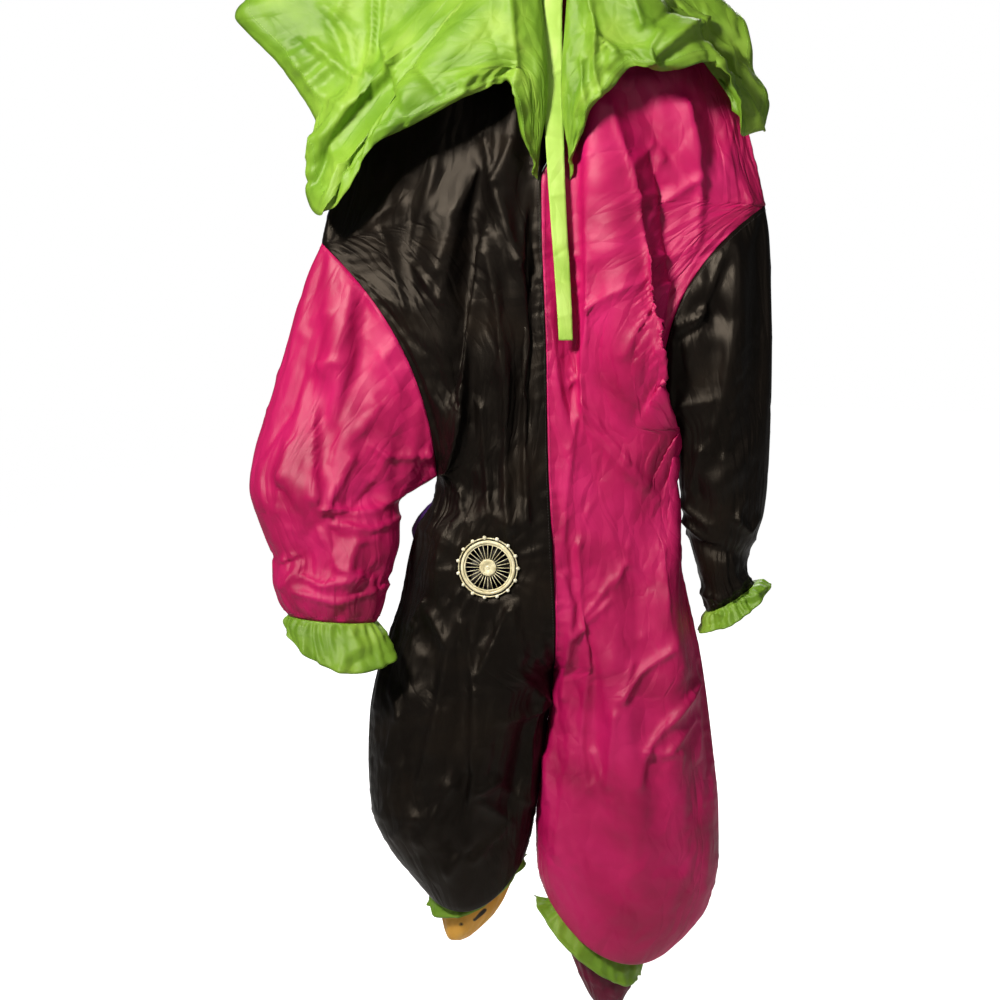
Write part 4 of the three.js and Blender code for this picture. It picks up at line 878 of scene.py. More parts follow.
def sleeve_piece(hand, material):
    middle = lengths((SLEEVES[hand][:, 0:2] + SLEEVES[hand][:, 2:4]) / 2)
    angle, rings = loops_round(part_way(SLEEVES[hand], middle, SLEEVE_STEP), SLEEVE_COLUMNS)
    grid, outs, along = loop_points(rings, angle)
    across = np.stack([along[..., 2], np.zeros_like(angle), -along[..., 0]], -1) * TOWARDS[hand]
    grid = grid + across * (rings[..., 5] * np.sin(angle) ** 2)[..., None]
    down = lengths(grid[:, SLEEVE_COLUMNS // 4])
    fade = np.minimum(1, np.abs(np.sin(angle)) * 2)
    fade = fade * smooth(np.minimum(down, down[-1] - down) / SLEEVE_FOLDS_FADE)[:, None]
    for folds, face in zip(SLEEVE_FOLDS[hand], (angle < np.pi, angle >= np.pi)):
        grid += outs * (soft_folds(folds, grid) * fade * face)[..., None]
    pinned = np.zeros(angle.shape, bool)
    pinned[[0, -1]] = True
    grid = settle(grid, outs, pinned, closed=True, grow=(1.05, 1.05, 1.04))
    grid = finer(grid, 2, closed=True)
    outs = normals_of(grid, finer(outs, 2, closed=True), closed=True)
    angle = np.arange(grid.shape[1]) * 2 * np.pi / grid.shape[1]
    down = lengths(grid[:, SLEEVE_COLUMNS // 2])
    box = SLEEVE_BOXES[hand]
    front = BOLD * creases_over(SLEEVE_CREASES[hand], grid)
    strewn = random_creases(seed=21, count=30, box=box, lean=50, high=2.4)
    front += creases_over(strewn, grid)
    strewn = random_creases(seed=22, count=60, box=box, lean=40, high=4)
    back = creases_over(strewn, grid)
    facing = smooth(np.sin(angle) * 3 + 0.5)
    height = front * facing + back * (1 - facing)
    above = (down[-1] - down)[:, None]
    gathers = np.sin(angle * GATHERS["count"] + GATHERS["sway"] * np.sin(angle * GATHERS["sways"]))
    gathers = gathers * np.exp(-above / GATHERS["reach"]) * GATHERS["high"]
    height += gathers * smooth(above / GATHERS["rise"])
    height *= smooth(down / SLEEVE_HEM)[:, None] * smooth(above / SLEEVE_HEM)
    ring_length = lengths(np.concatenate([grid[0], grid[0][:1]]))[:-1]
    height += puckers(down[:, None], ring_length[None, :], 5)
    grid = grid + outs * height[..., None]
    return cloth_object(f"sleeve_{hand}_cloth", grid, outs, CLOTH, material, closed=True), grid, outs


for hand, material, slot, flat, area in (
    ("right", magenta_nylon, "magenta_nylon", (0.60, 0.66), 0.27),
    ("left", black_nylon, "black_nylon", (0.56, 0.62), 0.22),
):
    piece, grid, outs = sleeve_piece(hand, material)
    seams[f"sleeve_{hand}"] = (grid, outs)
    sewn(piece, f"sleeve_{hand}")

# Wrist and ankle frills
# Short tubes of lime nylon, gathered on to the sleeve and leg ends and left as loose frills with a rolled
# hem.
FRILLS = {
    # outer x, outer z, inner x, inner z, depth, bow, y, droop, wave: the loop, its middle and its hem
    "wrist_frill_right": [(-398, -1004, -262, -1014, 40, 0, -64, 0, 0),
                          (-402, -1013, -252, -1026, 47, 0, -66, 8, 3),
                          (-393, -1030, -232, -1060, 56, 0, -76, 34, 8)],
    "wrist_frill_left": [(323, -968, 249, -1014, 38, 0, 10, 0, 0),
                         (334, -964, 244, -1024, 42, 0, 10, 3, 2.5),
                         (346, -976, 243, -1041, 48, 0, 8, 11, 6.5)],
    "ankle_frill_right": [(-176, -1462, -42, -1405, 36, 0, 0, 0, 0),
                          (-184, -1468, -38, -1407, 40, 0, 0, 8, 1.5),
                          (-189, -1488, -34, -1408, 48, 0, 0, 34, 6)],
    "ankle_frill_left": [(156, -1573, 10, -1480, 36, 0, 0, 0, 0),
                         (154, -1586, -4, -1477, 42, 0, 0, 10, 3),
                         (148, -1606, -22, -1470, 52, 0, 0, 34, 7)],
}
# Waves, narrow pleats and hem waves round a frill, how high they are, and the rolled hem
FRILL_WAVES, FRILL_PLEATS, HEM_WAVES = 9, 27, 14
WAVE_SHARE, PLEAT_HIGH, HEM_HIGH = 0.45, 1.8, 2.0
ROLL_HIGH, ROLL_FROM = 2.0, 0.86
FRILL_ROWS, FRILL_COLUMNS = 22, 200
# How far down the loops of the table lie, how round the droop is, and the gap at the seam
FRILL_KNOTS, FRILL_SAG, FRILL_GAP = np.array((0, 0.4, 1)), 1.3, 0.4


def frill_piece(name, rows, material, seed):
    rows = np.array(rows, float)
    angle, rings = loops_round(part_way(rows, FRILL_KNOTS, 1 / (FRILL_ROWS - 1)), FRILL_COLUMNS)
    grid, outs, _ = loop_points(rings, angle)
    grid[..., 2] -= rings[..., 7] * np.abs(np.sin(angle)) ** FRILL_SAG + FRILL_GAP
    draw = np.random.default_rng(seed)
    share = np.linspace(0, 1, FRILL_ROWS)[:, None]
    wander = angle + 0.10 * np.sin(2 * angle + draw.uniform(0, 6)) + 0.05 * np.sin(5 * angle)
    uneven = 0.6 + 0.5 * np.sin(2 * angle + draw.uniform(0, 6))
    uneven = uneven + 0.3 * np.sin(3 * angle + draw.uniform(0, 6))
    wave = rings[..., 8] * np.cos(FRILL_WAVES * wander) * uneven * WAVE_SHARE
    wave += PLEAT_HIGH * smooth(share * 6) * np.sin(FRILL_PLEATS * wander + 3 * share) * (1 - 0.8 * share)
    wave += HEM_HIGH * share * np.sin(HEM_WAVES * wander + 5 * share + draw.uniform(0, 6)) * uneven
    x, z = grid[..., 0], grid[..., 2]
    box = (x.min(), x.max(), z.min(), z.max())
    limp = random_creases(seed=seed + 60, count=26, box=box, lean=70, high=6)
    wave += creases_over(limp, grid) * smooth(share * 4)
    roll = ROLL_HIGH * np.sin(np.pi * smooth((share - ROLL_FROM) / (1 - ROLL_FROM)))
    grid = grid + outs * (wave + roll)[..., None]
    return cloth_object(name + "_cloth", grid, outs, CLOTH, material, closed=True)


lime_nylon = nylon("lime_nylon", (0.10, 0.22, 0.012), (0.17, 0.32, 0.024), (0.27, 0.43, 0.05), grain=1.15,
                   roughness=0.44, shine=0.38, crumple=0.0032)
for seed, (name, rows) in enumerate(FRILLS.items()):
    piece = frill_piece(name, rows, lime_nylon, seed)
    sewn(piece, name)

# Foot covers
# Limp pouches of nylon that hang from inside the ankle loops: amber with two dabs of painted shade where
# gaps show the dark inside, and wine.
FEET = {
    # outer x, outer z, inner x, inner z, depth, bow, y
    "right": [(-172, -1465, -47, -1409, 31, 0, 0), (-172, -1472, -48, -1418, 31, 0, 0),
              (-168, -1494, -56, -1446, 32, 0, 0), (-165, -1516, -67, -1476, 32, 0, 0),
              (-161, -1534, -84, -1503, 26, 0, 0), (-153, -1547, -104, -1525, 15, 0, 0),
              (-140, -1549, -120, -1540, 4, 0, 0)],
    "left": [(152, -1575, 14, -1485, 31, 0, 0), (150, -1582, 14, -1492, 31, 0, 0),
             (143, -1602, 24, -1526, 32, 0, 0), (132, -1628, 38, -1562, 32, 0, 0),
             (120, -1650, 54, -1602, 26, 0, 0), (106, -1664, 68, -1636, 15, 0, 0),
             (94, -1665, 80, -1654, 4, 0, 0)],
}
FOOT_ROWS, FOOT_COLUMNS = 44, 96
FOOT_GATHERS, FOOT_GATHER_HIGH = 11, 2.5
FOOT_BOXES = {"right": (-150, -30, -1650, -1430), "left": (30, 150, -1650, -1430)}
FOOT_SEEDS = {"right": 30, "left": 32}
# How soft the edge of a dab of painted shade is, as a share of its width
GAP_SHADE_EDGE = 0.6


def foot_piece(hand, material):
    rows = np.array(FEET[hand], float)
    knots = lengths((rows[:, 0:2] + rows[:, 2:4]) / 2)
    angle, rings = loops_round(part_way(rows, knots, knots[-1] / (FOOT_ROWS - 1)), FOOT_COLUMNS)
    grid, outs, _ = loop_points(rings, angle)
    share = np.linspace(0, 1, len(grid))[:, None]
    crumples = random_creases(FOOT_SEEDS[hand], count=26, box=FOOT_BOXES[hand], lean=45, high=4)
    height = creases_over(crumples, grid)
    gathers = np.sin(FOOT_GATHERS * angle + 2 * np.sin(3 * angle))
    height += FOOT_GATHER_HIGH * gathers * (1 - share) * smooth(share * 8)
    grid = grid + outs * (height * smooth(share * 8) * smooth((1 - share) * 6))[..., None]
    return cloth_object(f"foot_{hand}_cloth", grid, outs, CLOTH, material, closed=True)


def painted_gap_shade(material, marks, shade_colour):
    """Dabs of painted shade on a cloth where gaps show the dark inside, each a short line from one point to
    another.
    """
    tree = material.node_tree
    link = tree.links.new
    socket = tree.nodes["Principled BSDF"].inputs["Base Color"]
    place = add_node(tree, "ShaderNodeTexCoord")
    colour = socket.links[0].from_socket
    for start, end, wide in marks:
        start, end = np.array(start) * MM, np.array(end) * MM
        along = end - start
        there = add_node(tree, "ShaderNodeVectorMath", {1: tuple(start)}, operation="SUBTRACT")
        link(place.outputs["Object"], there.inputs[0])
        share = add_node(tree, "ShaderNodeVectorMath", {1: tuple(along / (along @ along))},
                         operation="DOT_PRODUCT")
        link(there.outputs["Vector"], share.inputs[0])
        held = add_node(tree, "ShaderNodeClamp")
        link(share.outputs["Value"], held.inputs["Value"])
        nearest = add_node(tree, "ShaderNodeVectorMath", {0: tuple(along)}, operation="SCALE")
        link(held.outputs["Result"], nearest.inputs["Scale"])
        away = add_node(tree, "ShaderNodeVectorMath", operation="DISTANCE")
        link(there.outputs["Vector"], away.inputs[0])
        link(nearest.outputs["Vector"], away.inputs[1])
        edge = add_node(tree, "ShaderNodeMapRange",
                        {"From Min": wide * MM, "From Max": wide * GAP_SHADE_EDGE * MM})
        link(away.outputs["Value"], edge.inputs["Value"])
        mix = add_node(tree, "ShaderNodeMixRGB", {"Color2": (*shade_colour, 1)})
        link(edge.outputs["Result"], mix.inputs["Fac"])
        link(colour, mix.inputs["Color1"])
        colour = mix.outputs["Color"]
    link(colour, socket)


amber_nylon = nylon("amber_nylon", (0.52, 0.22, 0.02), (0.72, 0.36, 0.04), (0.82, 0.48, 0.09))
# Two dabs of painted shade on the amber foot, where gaps at the ankle show the dark inside
painted_gap_shade(amber_nylon, [((-144, -31, -1518), (-136, -31, -1512), 5),
                     ((-114, -31, -1502), (-98, -31, -1488), 4.5)], (0.02, 0.012, 0.006))
wine_nylon = nylon("wine_nylon", (0.06, 0.0003, 0.012), (0.10, 0.0006, 0.02), (0.15, 0.002, 0.035),
                   shine=0.3)
for hand, material, slot in (("right", amber_nylon, "amber_nylon"), ("left", wine_nylon, "wine_nylon")):
    piece = foot_piece(hand, material)
    sewn(piece, f"foot_cover_{hand}")

# Collar
# Two wide half capes of lime nylon, one each side of the front slit. They are sewn in along the slit and
# the neck, puff out over the shoulders, and end in a rolled and gathered hem.
COLLARS = {
    # height on the slit or 0, angle round the neck, hem x, y, z
    "right": [
        (-349, 0, -27, -84, -340), (-298, 0, -47, -97, -284), (-205, 0, -76, -118, -200),
        (-105, 0, -139, -130, -232), (-38, 0, -231, -132, -272), (0, 110, -292, -118, -326),
        (0, 130, -342, -88, -396), (0, 148, -372, -56, -356), (0, 165, -352, -34, -272),
        (0, 180, -400, 4, -182), (0, 195, -478, 24, -92), (0, 210, -440, 72, -66),
        (0, 225, -345, 118, -118), (0, 240, -240, 138, -212), (0, 255, -118, 146, -276),
        (0, 270, 4.8, 140, -300),
    ],
    "left": [
        (-349, 0, 33, -84, -340), (-290, 0, 52, -97, -280), (-205, 0, 80, -112, -222),
        (-130, 0, 127, -124, -184), (-45, 0, 186, -124, -184), (0, 70, 246, -108, -172),
        (0, 50, 281, -80, -230), (0, 30, 300, -46, -272), (0, 15, 333, -8, -264),
        (0, 0, 337, 18, -225), (0, -15, 318, 34, -165), (0, -30, 300, 66, -96),
        (0, -45, 250, 112, -120), (0, -60, 190, 138, -206), (0, -75, 100, 146, -270),
        (0, -90, 5.2, 140, -300),
    ],
}
COLLAR_SLIT_X = {"right": -18, "left": 29}
COLLAR_COLUMNS, COLLAR_ROWS = 150, 30
COLLAR_PUFF, COLLAR_WAVE, COLLAR_WAVES = 32, 6, 10
COLLAR_RISE, COLLAR_LIFT = 8, 2.9
# The capes spread away from a point this far below the neck
COLLAR_SPREAD = np.array((0, 0, -600))
# How the hem rolls out and back in: the share of the way down, and how far out
COLLAR_ROLL = ((0, 0.6, 0.86, 1), (0, 0, 9, -3))
HEM_GATHERS = {"high": 2.6, "at": 0.9, "reach": 0.09, "piping": 5}
# Shares of the width or the depth over which the puff and the creases fade, and where the rumples
# of the hem start
PUFF_ROUND, PUFF_FADE, SLIT_FADE, NECK_FADE, RUMPLE_FROM, RUMPLE_OVER = 0.6, 0.16, 0.03, 0.08, 0.72, 0.16
COLLAR_BOXES = {"right": (-400, -40, -330, -60), "left": (40, 300, -300, -60)}
COLLAR_CREASES = {
    "right": [
        (6, 5, (-360, -142, 9), (-318, -176, 14), (-277, -210, 12)),
        (6, 5, (-262, -60, 9), (-261, -130, 14), (-262, -203, 12)),
        (5, 90, (-240, -60, 18), (-242, -140, 21), (-229, -193, 18)),
        (45, 5, (-229, -193, 18), (-292, -243, 22), (-333, -293, 15)),
        (7, 8, (-190, -193, -8), (-158, -230, -8)),
        (5, 7, (-339, -300, 9), (-370, -343, 10)),
        (5, 5, (-329, -307, -9), (-347, -350, -9)),
        (6, 6, (-322, -307, 9), (-299, -343, 9)),
        (5, 5, (-365, -350, -8), (-326, -360, -8)),
        (7, 5, (-307, -321, 8), (-333, -408, 10)),
        (6, 9, (-338, -90, 8), (-300, -130, 9), (-290, -180, 6)),
        (5, 6, (-330, -110, -8), (-310, -160, -8)),
        (6, 6, (-392, -150, 8), (-345, -215, 10), (-300, -250, 6)),
        (7, 6, (-300, -60, 6), (-318, -110, 8)),
        (8, 6, (-60, -90, 8), (-48, -220, 10), (-32, -310, 6)),
        (5, 6, (-95, -205, 6), (-60, -240, 6)),
    ],
    "left": [
        (20, 6, (243, -108, 14), (160, -165, 18), (71, -250, 14)),
        (7, 5, (52, -60, 10), (63, -144, 14), (66, -230, 8)),
        (8, 5, (63, -144, 10), (92, -170, 9)),
        (9, 6, (157, -144, 10), (136, -176, 9)),
        (6, 6, (190, -90, -8), (150, -130, -8)),
        (6, 8, (110, -70, 8), (130, -130, 10)),
        (6, 6, (44, -180, 8), (50, -300, 8)),
        (8, 6, (266, -130, 9), (282, -200, 9)),
        (5, 5, (240, -140, -8), (262, -190, -8)),
    ],
}


def neck_points(angle):
    """The neck opening, at angles from the wearer's left side."""
    row = SHOULDER[0]
    left = np.cos(angle) > 0
    width = np.abs(np.where(left, row[7], row[5]) - NECK_X)
    side_z = np.where(left, row[8], row[6])
    z = row[0] + (side_z - row[0]) * np.abs(np.cos(angle))
    points = np.stack([NECK_X + width * np.cos(angle), -row[3] * np.sin(angle), z], -1)
    outs = np.stack([row[3] * np.cos(angle), -width * np.sin(angle), np.zeros_like(angle)], -1)
    return points, outs / np.linalg.norm(outs, axis=-1, keepdims=True)


def collar_roots(hand, rays):
    roots = []
    for slit_z, turn, *_ in rays:
        if slit_z:
            front = np.interp(-slit_z, -SHOULDER[:, 0], SHOULDER[:, 3])
            roots.append((COLLAR_SLIT_X[hand], -front - COLLAR_LIFT, slit_z))
        else:
            point, out = neck_points(np.radians(np.array([turn])))
            roots.append(point[0] + out[0] * COLLAR_LIFT + (0, 0, COLLAR_RISE))
    return np.array(roots, float)


def collar_piece(hand, material):
    rays = np.array(COLLARS[hand], float)
    line = np.concatenate([collar_roots(hand, rays), rays[:, 2:]], axis=1)
    line = through(np.arange(len(rays)), line, np.linspace(0, len(rays) - 1, COLLAR_COLUMNS))
    share = np.linspace(0, 1, COLLAR_ROWS)[:, None]
    grid = line[None, :, :3] + (line[None, :, 3:] - line[None, :, :3]) * share[..., None]
    outs = normals_of(grid, grid - COLLAR_SPREAD)
    t = np.linspace(0, 1, COLLAR_COLUMNS)
    fade = smooth(np.minimum(t, 1 - t) / PUFF_FADE)
    roll = through(*COLLAR_ROLL, share[:, 0])[:, None]
    height = COLLAR_PUFF * np.sin(np.pi * share ** PUFF_ROUND) + roll
    height = height + COLLAR_WAVE * share ** 2 * np.cos(2 * np.pi * COLLAR_WAVES * t)
    grid = grid + outs * (height * fade)[..., None]
    grid[:, -1, 0] = NECK_X + (-HALF_SEAM if hand == "right" else HALF_SEAM)
    pinned = np.zeros(grid.shape[:2], bool)
    pinned[0] = True
    pinned[:, [0, -1]] = True
    grid = settle(grid, outs, pinned, grow=(1.03, 1.03, 1.03), cap=10, gravity=0.1)
    grid = finer(grid, 2)
    outs = normals_of(grid, grid - COLLAR_SPREAD)
    share = np.linspace(0, 1, len(grid))[:, None]
    t = np.linspace(0, 1, grid.shape[1])[None, :]
    hem_length = lengths(grid[-1])[None, :]
    gathers = np.sin(hem_length / 5.2 + 1.5 * np.sin(hem_length / 31)) + 0.7 * np.sin(hem_length / 8.7)
    drawn = 0.25 + 0.75 * np.sin(hem_length / 95) ** 2
    below = share - HEM_GATHERS["at"]
    height = HEM_GATHERS["high"] * gathers * drawn * np.exp(-((below / HEM_GATHERS["reach"]) ** 2))
    piping = HEM_GATHERS["piping"] * np.sin(np.pi * smooth(below / (1 - HEM_GATHERS["at"])))
    height = height + piping * (1 + 0.4 * np.sin(hem_length / 17))
    box = COLLAR_BOXES[hand]
    front = grid[..., 1] < 0
    strewn = random_creases(seed=41, count=16, box=box, lean=45, high=3)
    height = height + creases_over(COLLAR_CREASES[hand] + strewn, grid) * front
    behind = random_creases(seed=42, count=46, box=box, lean=35, high=5)
    height = height + creases_over(behind, grid) * ~front
    rumple = random_creases(seed=43, count=40, box=box, lean=60, high=4)
    near_hem = smooth((share - RUMPLE_FROM) / RUMPLE_OVER)
    height = height + creases_over(rumple, grid) * near_hem
    height = height * smooth(np.minimum(t, 1 - t) / SLIT_FADE) * smooth(share / NECK_FADE)
    grid = grid + outs * height[..., None]
    seams[f"collar_{hand}"] = (grid, outs)
    return cloth_object(f"collar_{hand}_cloth", grid, outs, CLOTH, material)


for hand, flat, area in (("right", (1.3, 0.36), 0.30), ("left", (1.1, 0.29), 0.205)):
    piece = collar_piece(hand, lime_nylon)
    sewn(piece, f"collar_{hand}")

# Neckband
# A narrow double band of lime nylon that stands round the neck opening. The collar and the tie are sewn to
# it.
BAND_ROWS, BAND_COLUMNS, BAND_HEIGHT, BAND_THICK = 10, 220, 22, 1.6
# Its gap over the neck edge, how far its top evens out to one level, and its fine gathers
BAND_GAP, BAND_EVEN, BAND_LEVEL = 0.3, 0.6, -22
BAND_GATHERS, GATHER_HIGH = 47, 0.7
band_turns = np.arange(BAND_COLUMNS) * 2 * np.pi / BAND_COLUMNS
band_angle = np.broadcast_to(band_turns, (BAND_ROWS, BAND_COLUMNS))
band_grid, band_outs = neck_points(band_angle)
band_share = np.linspace(0, 1, BAND_ROWS)[:, None]
band_grid[..., 2] += BAND_GAP + band_share * (BAND_EVEN * (BAND_LEVEL - band_grid[..., 2]) + BAND_HEIGHT)
gather = GATHER_HIGH * np.sin(BAND_GATHERS * band_angle) * np.sin(np.pi * band_share)
band_grid += band_outs * gather[..., None]
band = cloth_object("neckband_cloth", band_grid, band_outs, BAND_THICK, lime_nylon, closed=True)
sewn(band, "neckband")

# Fan
# A small blower clamped in a round hole of the right front: a cream plastic ring with nubs outside, a wire
# grille with a flat hub, a housing inside the suit and a bladed rotor that spins on its motor. The housing,
# the rotor and a thin ring in the floor of the bezel's groove are painted near black as painted shade inside
# the fan, and the nubs are painted paler than the ring as a painted highlight.
BEZEL = {"outer": 45.5, "front": 6.5, "nubs": 15, "nub": 3.0}
GRILLE = {"outer": 36.7, "hub": 15.5, "wires": 28, "wire": 0.9, "back": 2.4, "front": 4.2}
ROTOR = {"hub": 11.5, "back": -14.5, "front": -4.5, "blades": 7, "reach": 35.5}


def plastic(name, colour, shade, roughness=0.33):
    """Moulded plastic with faint flow marks and a little dirt in its grain."""
    material, tree, shader = new_material(name)
    link = tree.links.new
    set_inputs(shader, {"IOR": 1.47})
    place = add_node(tree, "ShaderNodeTexCoord")
    grain = add_node(tree, "ShaderNodeTexNoise", {"Scale": 90, "Detail": 6})
    link(place.outputs["Object"], grain.inputs["Vector"])
    tint = add_node(tree, "ShaderNodeValToRGB")
    tint.color_ramp.elements[0].position, tint.color_ramp.elements[1].position = 0.35, 0.62
    tint.color_ramp.elements[0].color, tint.color_ramp.elements[1].color = (*shade, 1), (*colour, 1)
    link(grain.outputs["Fac"], tint.inputs["Fac"])
    link(tint.outputs["Color"], shader.inputs["Base Color"])
    gloss = add_node(tree, "ShaderNodeMapRange", {"To Min": roughness - 0.08, "To Max": roughness + 0.12})
    link(grain.outputs["Fac"], gloss.inputs["Value"])
    link(gloss.outputs["Result"], shader.inputs["Roughness"])
    bump = add_node(tree, "ShaderNodeBump", {"Strength": 0.15, "Distance": 0.0002})
    link(grain.outputs["Fac"], bump.inputs["Height"])
    link(bump.outputs["Normal"], shader.inputs["Normal"])
    return material


def to_fan(points):
    """From the fan's own frame, whose z runs out of the cloth, to its place in the front, in metres."""
    points = np.asarray(points, float)
    x, y, z = points[..., 0], -points[..., 2], points[..., 1]
    sine, cosine = math.sin(FAN_TURN), math.cos(FAN_TURN)
    return np.stack([x * cosine + y * sine + FAN.x, -x * sine + y * cosine + FAN.y, z + FAN.z], -1) * MM


def raw_object(name, points, faces, material):
    mesh = bpy.data.meshes.new(name)
    mesh.from_pydata(np.asarray(points).reshape(-1, 3).tolist(), [], faces)
    mesh.shade_smooth()
    mesh.materials.append(material)
    return new_object(name, mesh)


def turned_shape(profile, sides, start=0):
    """A closed profile of radius and height, turned round the fan's axis: points and faces."""
    profile = np.array(profile, float)
    turn = np.arange(sides) * 2 * np.pi / sides
    points = np.stack([
        profile[None, :, 0] * np.cos(turn)[:, None],
        profile[None, :, 0] * np.sin(turn)[:, None],
        np.broadcast_to(profile[None, :, 1], (sides, len(profile))),
    ], -1).reshape(-1, 3)
    count = len(profile)
    faces = []
    for i in range(sides):
        here, there = start + i * count, start + (i + 1) % sides * count
        for j in range(count):
            above = (j + 1) % count
            faces.append((here + j, there + j, there + above, here + above))
    return points, faces


def tube_faces(rings, sides):
    """The faces of a tube with closed ends, whose points run ring by ring."""
    faces = []
    for i in range(rings - 1):
        here, there = i * sides, (i + 1) * sides
        for j in range(sides):
            beside = (j + 1) % sides
            faces.append((here + j, here + beside, there + beside, there + j))
    return faces + [tuple(range(sides))[::-1], tuple(range((rings - 1) * sides, rings * sides))]


def outward(piece):
    """Merges doubles and turns all faces out."""
    shape = bmesh.new()
    shape.from_mesh(piece.data)
    bmesh.ops.remove_doubles(shape, verts=shape.verts, dist=1e-6)
    bmesh.ops.recalc_face_normals(shape, faces=shape.faces)
    shape.to_mesh(piece.data)
    shape.free()


cream_plastic = plastic("fan_plastic", (0.86, 0.81, 0.56), (0.62, 0.55, 0.32), roughness=0.2)
# A paler copy of the cream plastic for the nubs: a painted highlight where they catch the light
lit_nub_plastic = plastic("fan_nub_highlight_plastic", (0.92, 0.90, 0.74), (0.80, 0.75, 0.52), roughness=0.18)
# Near-black plastic as painted shade for the fan's recesses: the groove's floor, the rotor and the housing
recess_shade_plastic = plastic("fan_dark_plastic", (0.035, 0.030, 0.022), (0.018, 0.015, 0.012), roughness=0.45)
# Outlines of radius and height over the cloth
RING_SIDES = 120
RING_PROFILE = [
    (37, 0.4), (45.2, 0.4), (45.6, 1.2), (45.5, 4.4), (45.0, 5.3), (44.3, 5.0), (44.0, 1.0), (41.4, 1.0),
    (41.2, 5.6), (40.4, 6.4), (39.0, 6.6), (37.6, 6.1), (37.0, 4.8),
]
# A thin ring of painted shade in the floor of the bezel's groove
GROOVE_PROFILE = [(41.0, 0.8), (44.2, 0.8), (44.2, 1.8), (41.0, 1.8)]
points, faces = turned_shape(RING_PROFILE, RING_SIDES)
bezel = raw_object("fan_ring", to_fan(points), faces, cream_plastic)
outward(bezel)
points, faces = turned_shape(GROOVE_PROFILE, RING_SIDES)
groove = raw_object("fan_groove", to_fan(points), faces, recess_shade_plastic)
outward(groove)
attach(groove, "suit")


def node_group(name, sockets):
    """A new group of geometry nodes that gives geometry, with its input node and its named inputs."""
    tree = bpy.data.node_groups.new(name, "GeometryNodeTree")
    tree.interface.new_socket("Geometry", in_out="OUTPUT", socket_type="NodeSocketGeometry")
    inputs = {
        label: tree.interface.new_socket(label, in_out="INPUT", socket_type="NodeSocket" + kind)
        for label, kind in sockets.items()
    }
    return tree, tree.nodes.new("NodeGroupInput"), inputs


def made_real(name, tree, copies, material, inputs, values):
    """The copies that a group of geometry nodes makes, as one plain mesh of the material."""
    real = tree.nodes.new("GeometryNodeRealizeInstances")
    paint = add_node(tree, "GeometryNodeSetMaterial", {"Material": material})
    made = tree.nodes.new("NodeGroupOutput")
    tree.links.new(copies.outputs["Instances"], real.inputs["Geometry"])
    tree.links.new(real.outputs["Geometry"], paint.inputs["Geometry"])
    tree.links.new(paint.outputs["Geometry"], made.inputs["Geometry"])
    holder = new_object(name, bpy.data.meshes.new(name))
    nodes = holder.modifiers.new("copies", "NODES")
    nodes.node_group = tree
    for label, value in values.items():
        nodes[inputs[label].identifier] = value
    bpy.context.view_layer.update()
    mesh = bpy.data.meshes.new_from_object(holder.evaluated_get(bpy.context.evaluated_depsgraph_get()))
    holder.modifiers.clear()
    holder.data = mesh
    mesh.shade_smooth()
    return holder


def ring_of(name, count, radius, shape, material):
    """A small mesh repeated round the fan's axis by Geometry Nodes, and realized."""
    tree, given, inputs = node_group(name, {"Count": "Int", "Radius": "Float", "Piece": "Object"})
    circle = tree.nodes.new("GeometryNodeMeshCircle")
    place = tree.nodes.new("GeometryNodeInputPosition")
    align = add_node(tree, "FunctionNodeAlignRotationToVector", axis="X")
    info = tree.nodes.new("GeometryNodeObjectInfo")
    copies = tree.nodes.new("GeometryNodeInstanceOnPoints")
    link = tree.links.new
    link(given.outputs["Count"], circle.inputs["Vertices"])
    link(given.outputs["Radius"], circle.inputs["Radius"])
    link(given.outputs["Piece"], info.inputs["Object"])
    link(circle.outputs["Mesh"], copies.inputs["Points"])
    link(info.outputs["Geometry"], copies.inputs["Instance"])
    link(place.outputs["Position"], align.inputs["Vector"])
    link(align.outputs["Rotation"], copies.inputs["Rotation"])
    values = {"Count": count, "Radius": radius, "Piece": shape}
    ring = made_real(name, tree, copies, material, inputs, values)
    vertices = ring.data.vertices
    co = np.zeros(len(vertices) * 3, np.float32)
    vertices.foreach_get("co", co)
    vertices.foreach_set("co", to_fan(co.reshape(-1, 3)).astype(np.float32).ravel())
    bpy.data.objects.remove(shape)
    return ring


STUB_SHARE, STUB_FOOT = 0.62, 0.6


def knob(radius, height, sides=14, rings=8):
    """A ball on a short stub with a closed foot."""
    stub = STUB_SHARE * radius
    outline = [(stub, STUB_FOOT), (stub, height - 1.7 * radius)]
    outline += [(radius * math.cos(a), height - radius + radius * math.sin(a))
                for a in np.linspace(-0.7, math.pi / 2 * 0.97, rings)]
    points = [(r * math.cos(t), r * math.sin(t), z) for r, z in outline
              for t in np.arange(sides) * 2 * np.pi / sides]
    return raw_object("shape", points, tube_faces(len(outline), sides), cream_plastic)


def bar(start, end, width, low, high):
    """A short bar along x with rounded edges."""
    section = [(0.5, 0), (0.35, 0.4), (0, 0.5), (-0.35, 0.4), (-0.5, 0), (-0.35, -0.4), (0, -0.5),
               (0.35, -0.4)]
    middle, tall = (low + high) / 2, high - low
    points = [(x, y * width, middle + z * tall) for x in (start, end) for y, z in section]
    return raw_object("shape", points, tube_faces(2, len(section)), cream_plastic)


# Bars run out from the axis: their copies stand on a circle too small to see
AXIS = 0.001
WIRE_HELD, WIRE_INSET = 1.5, 0.3
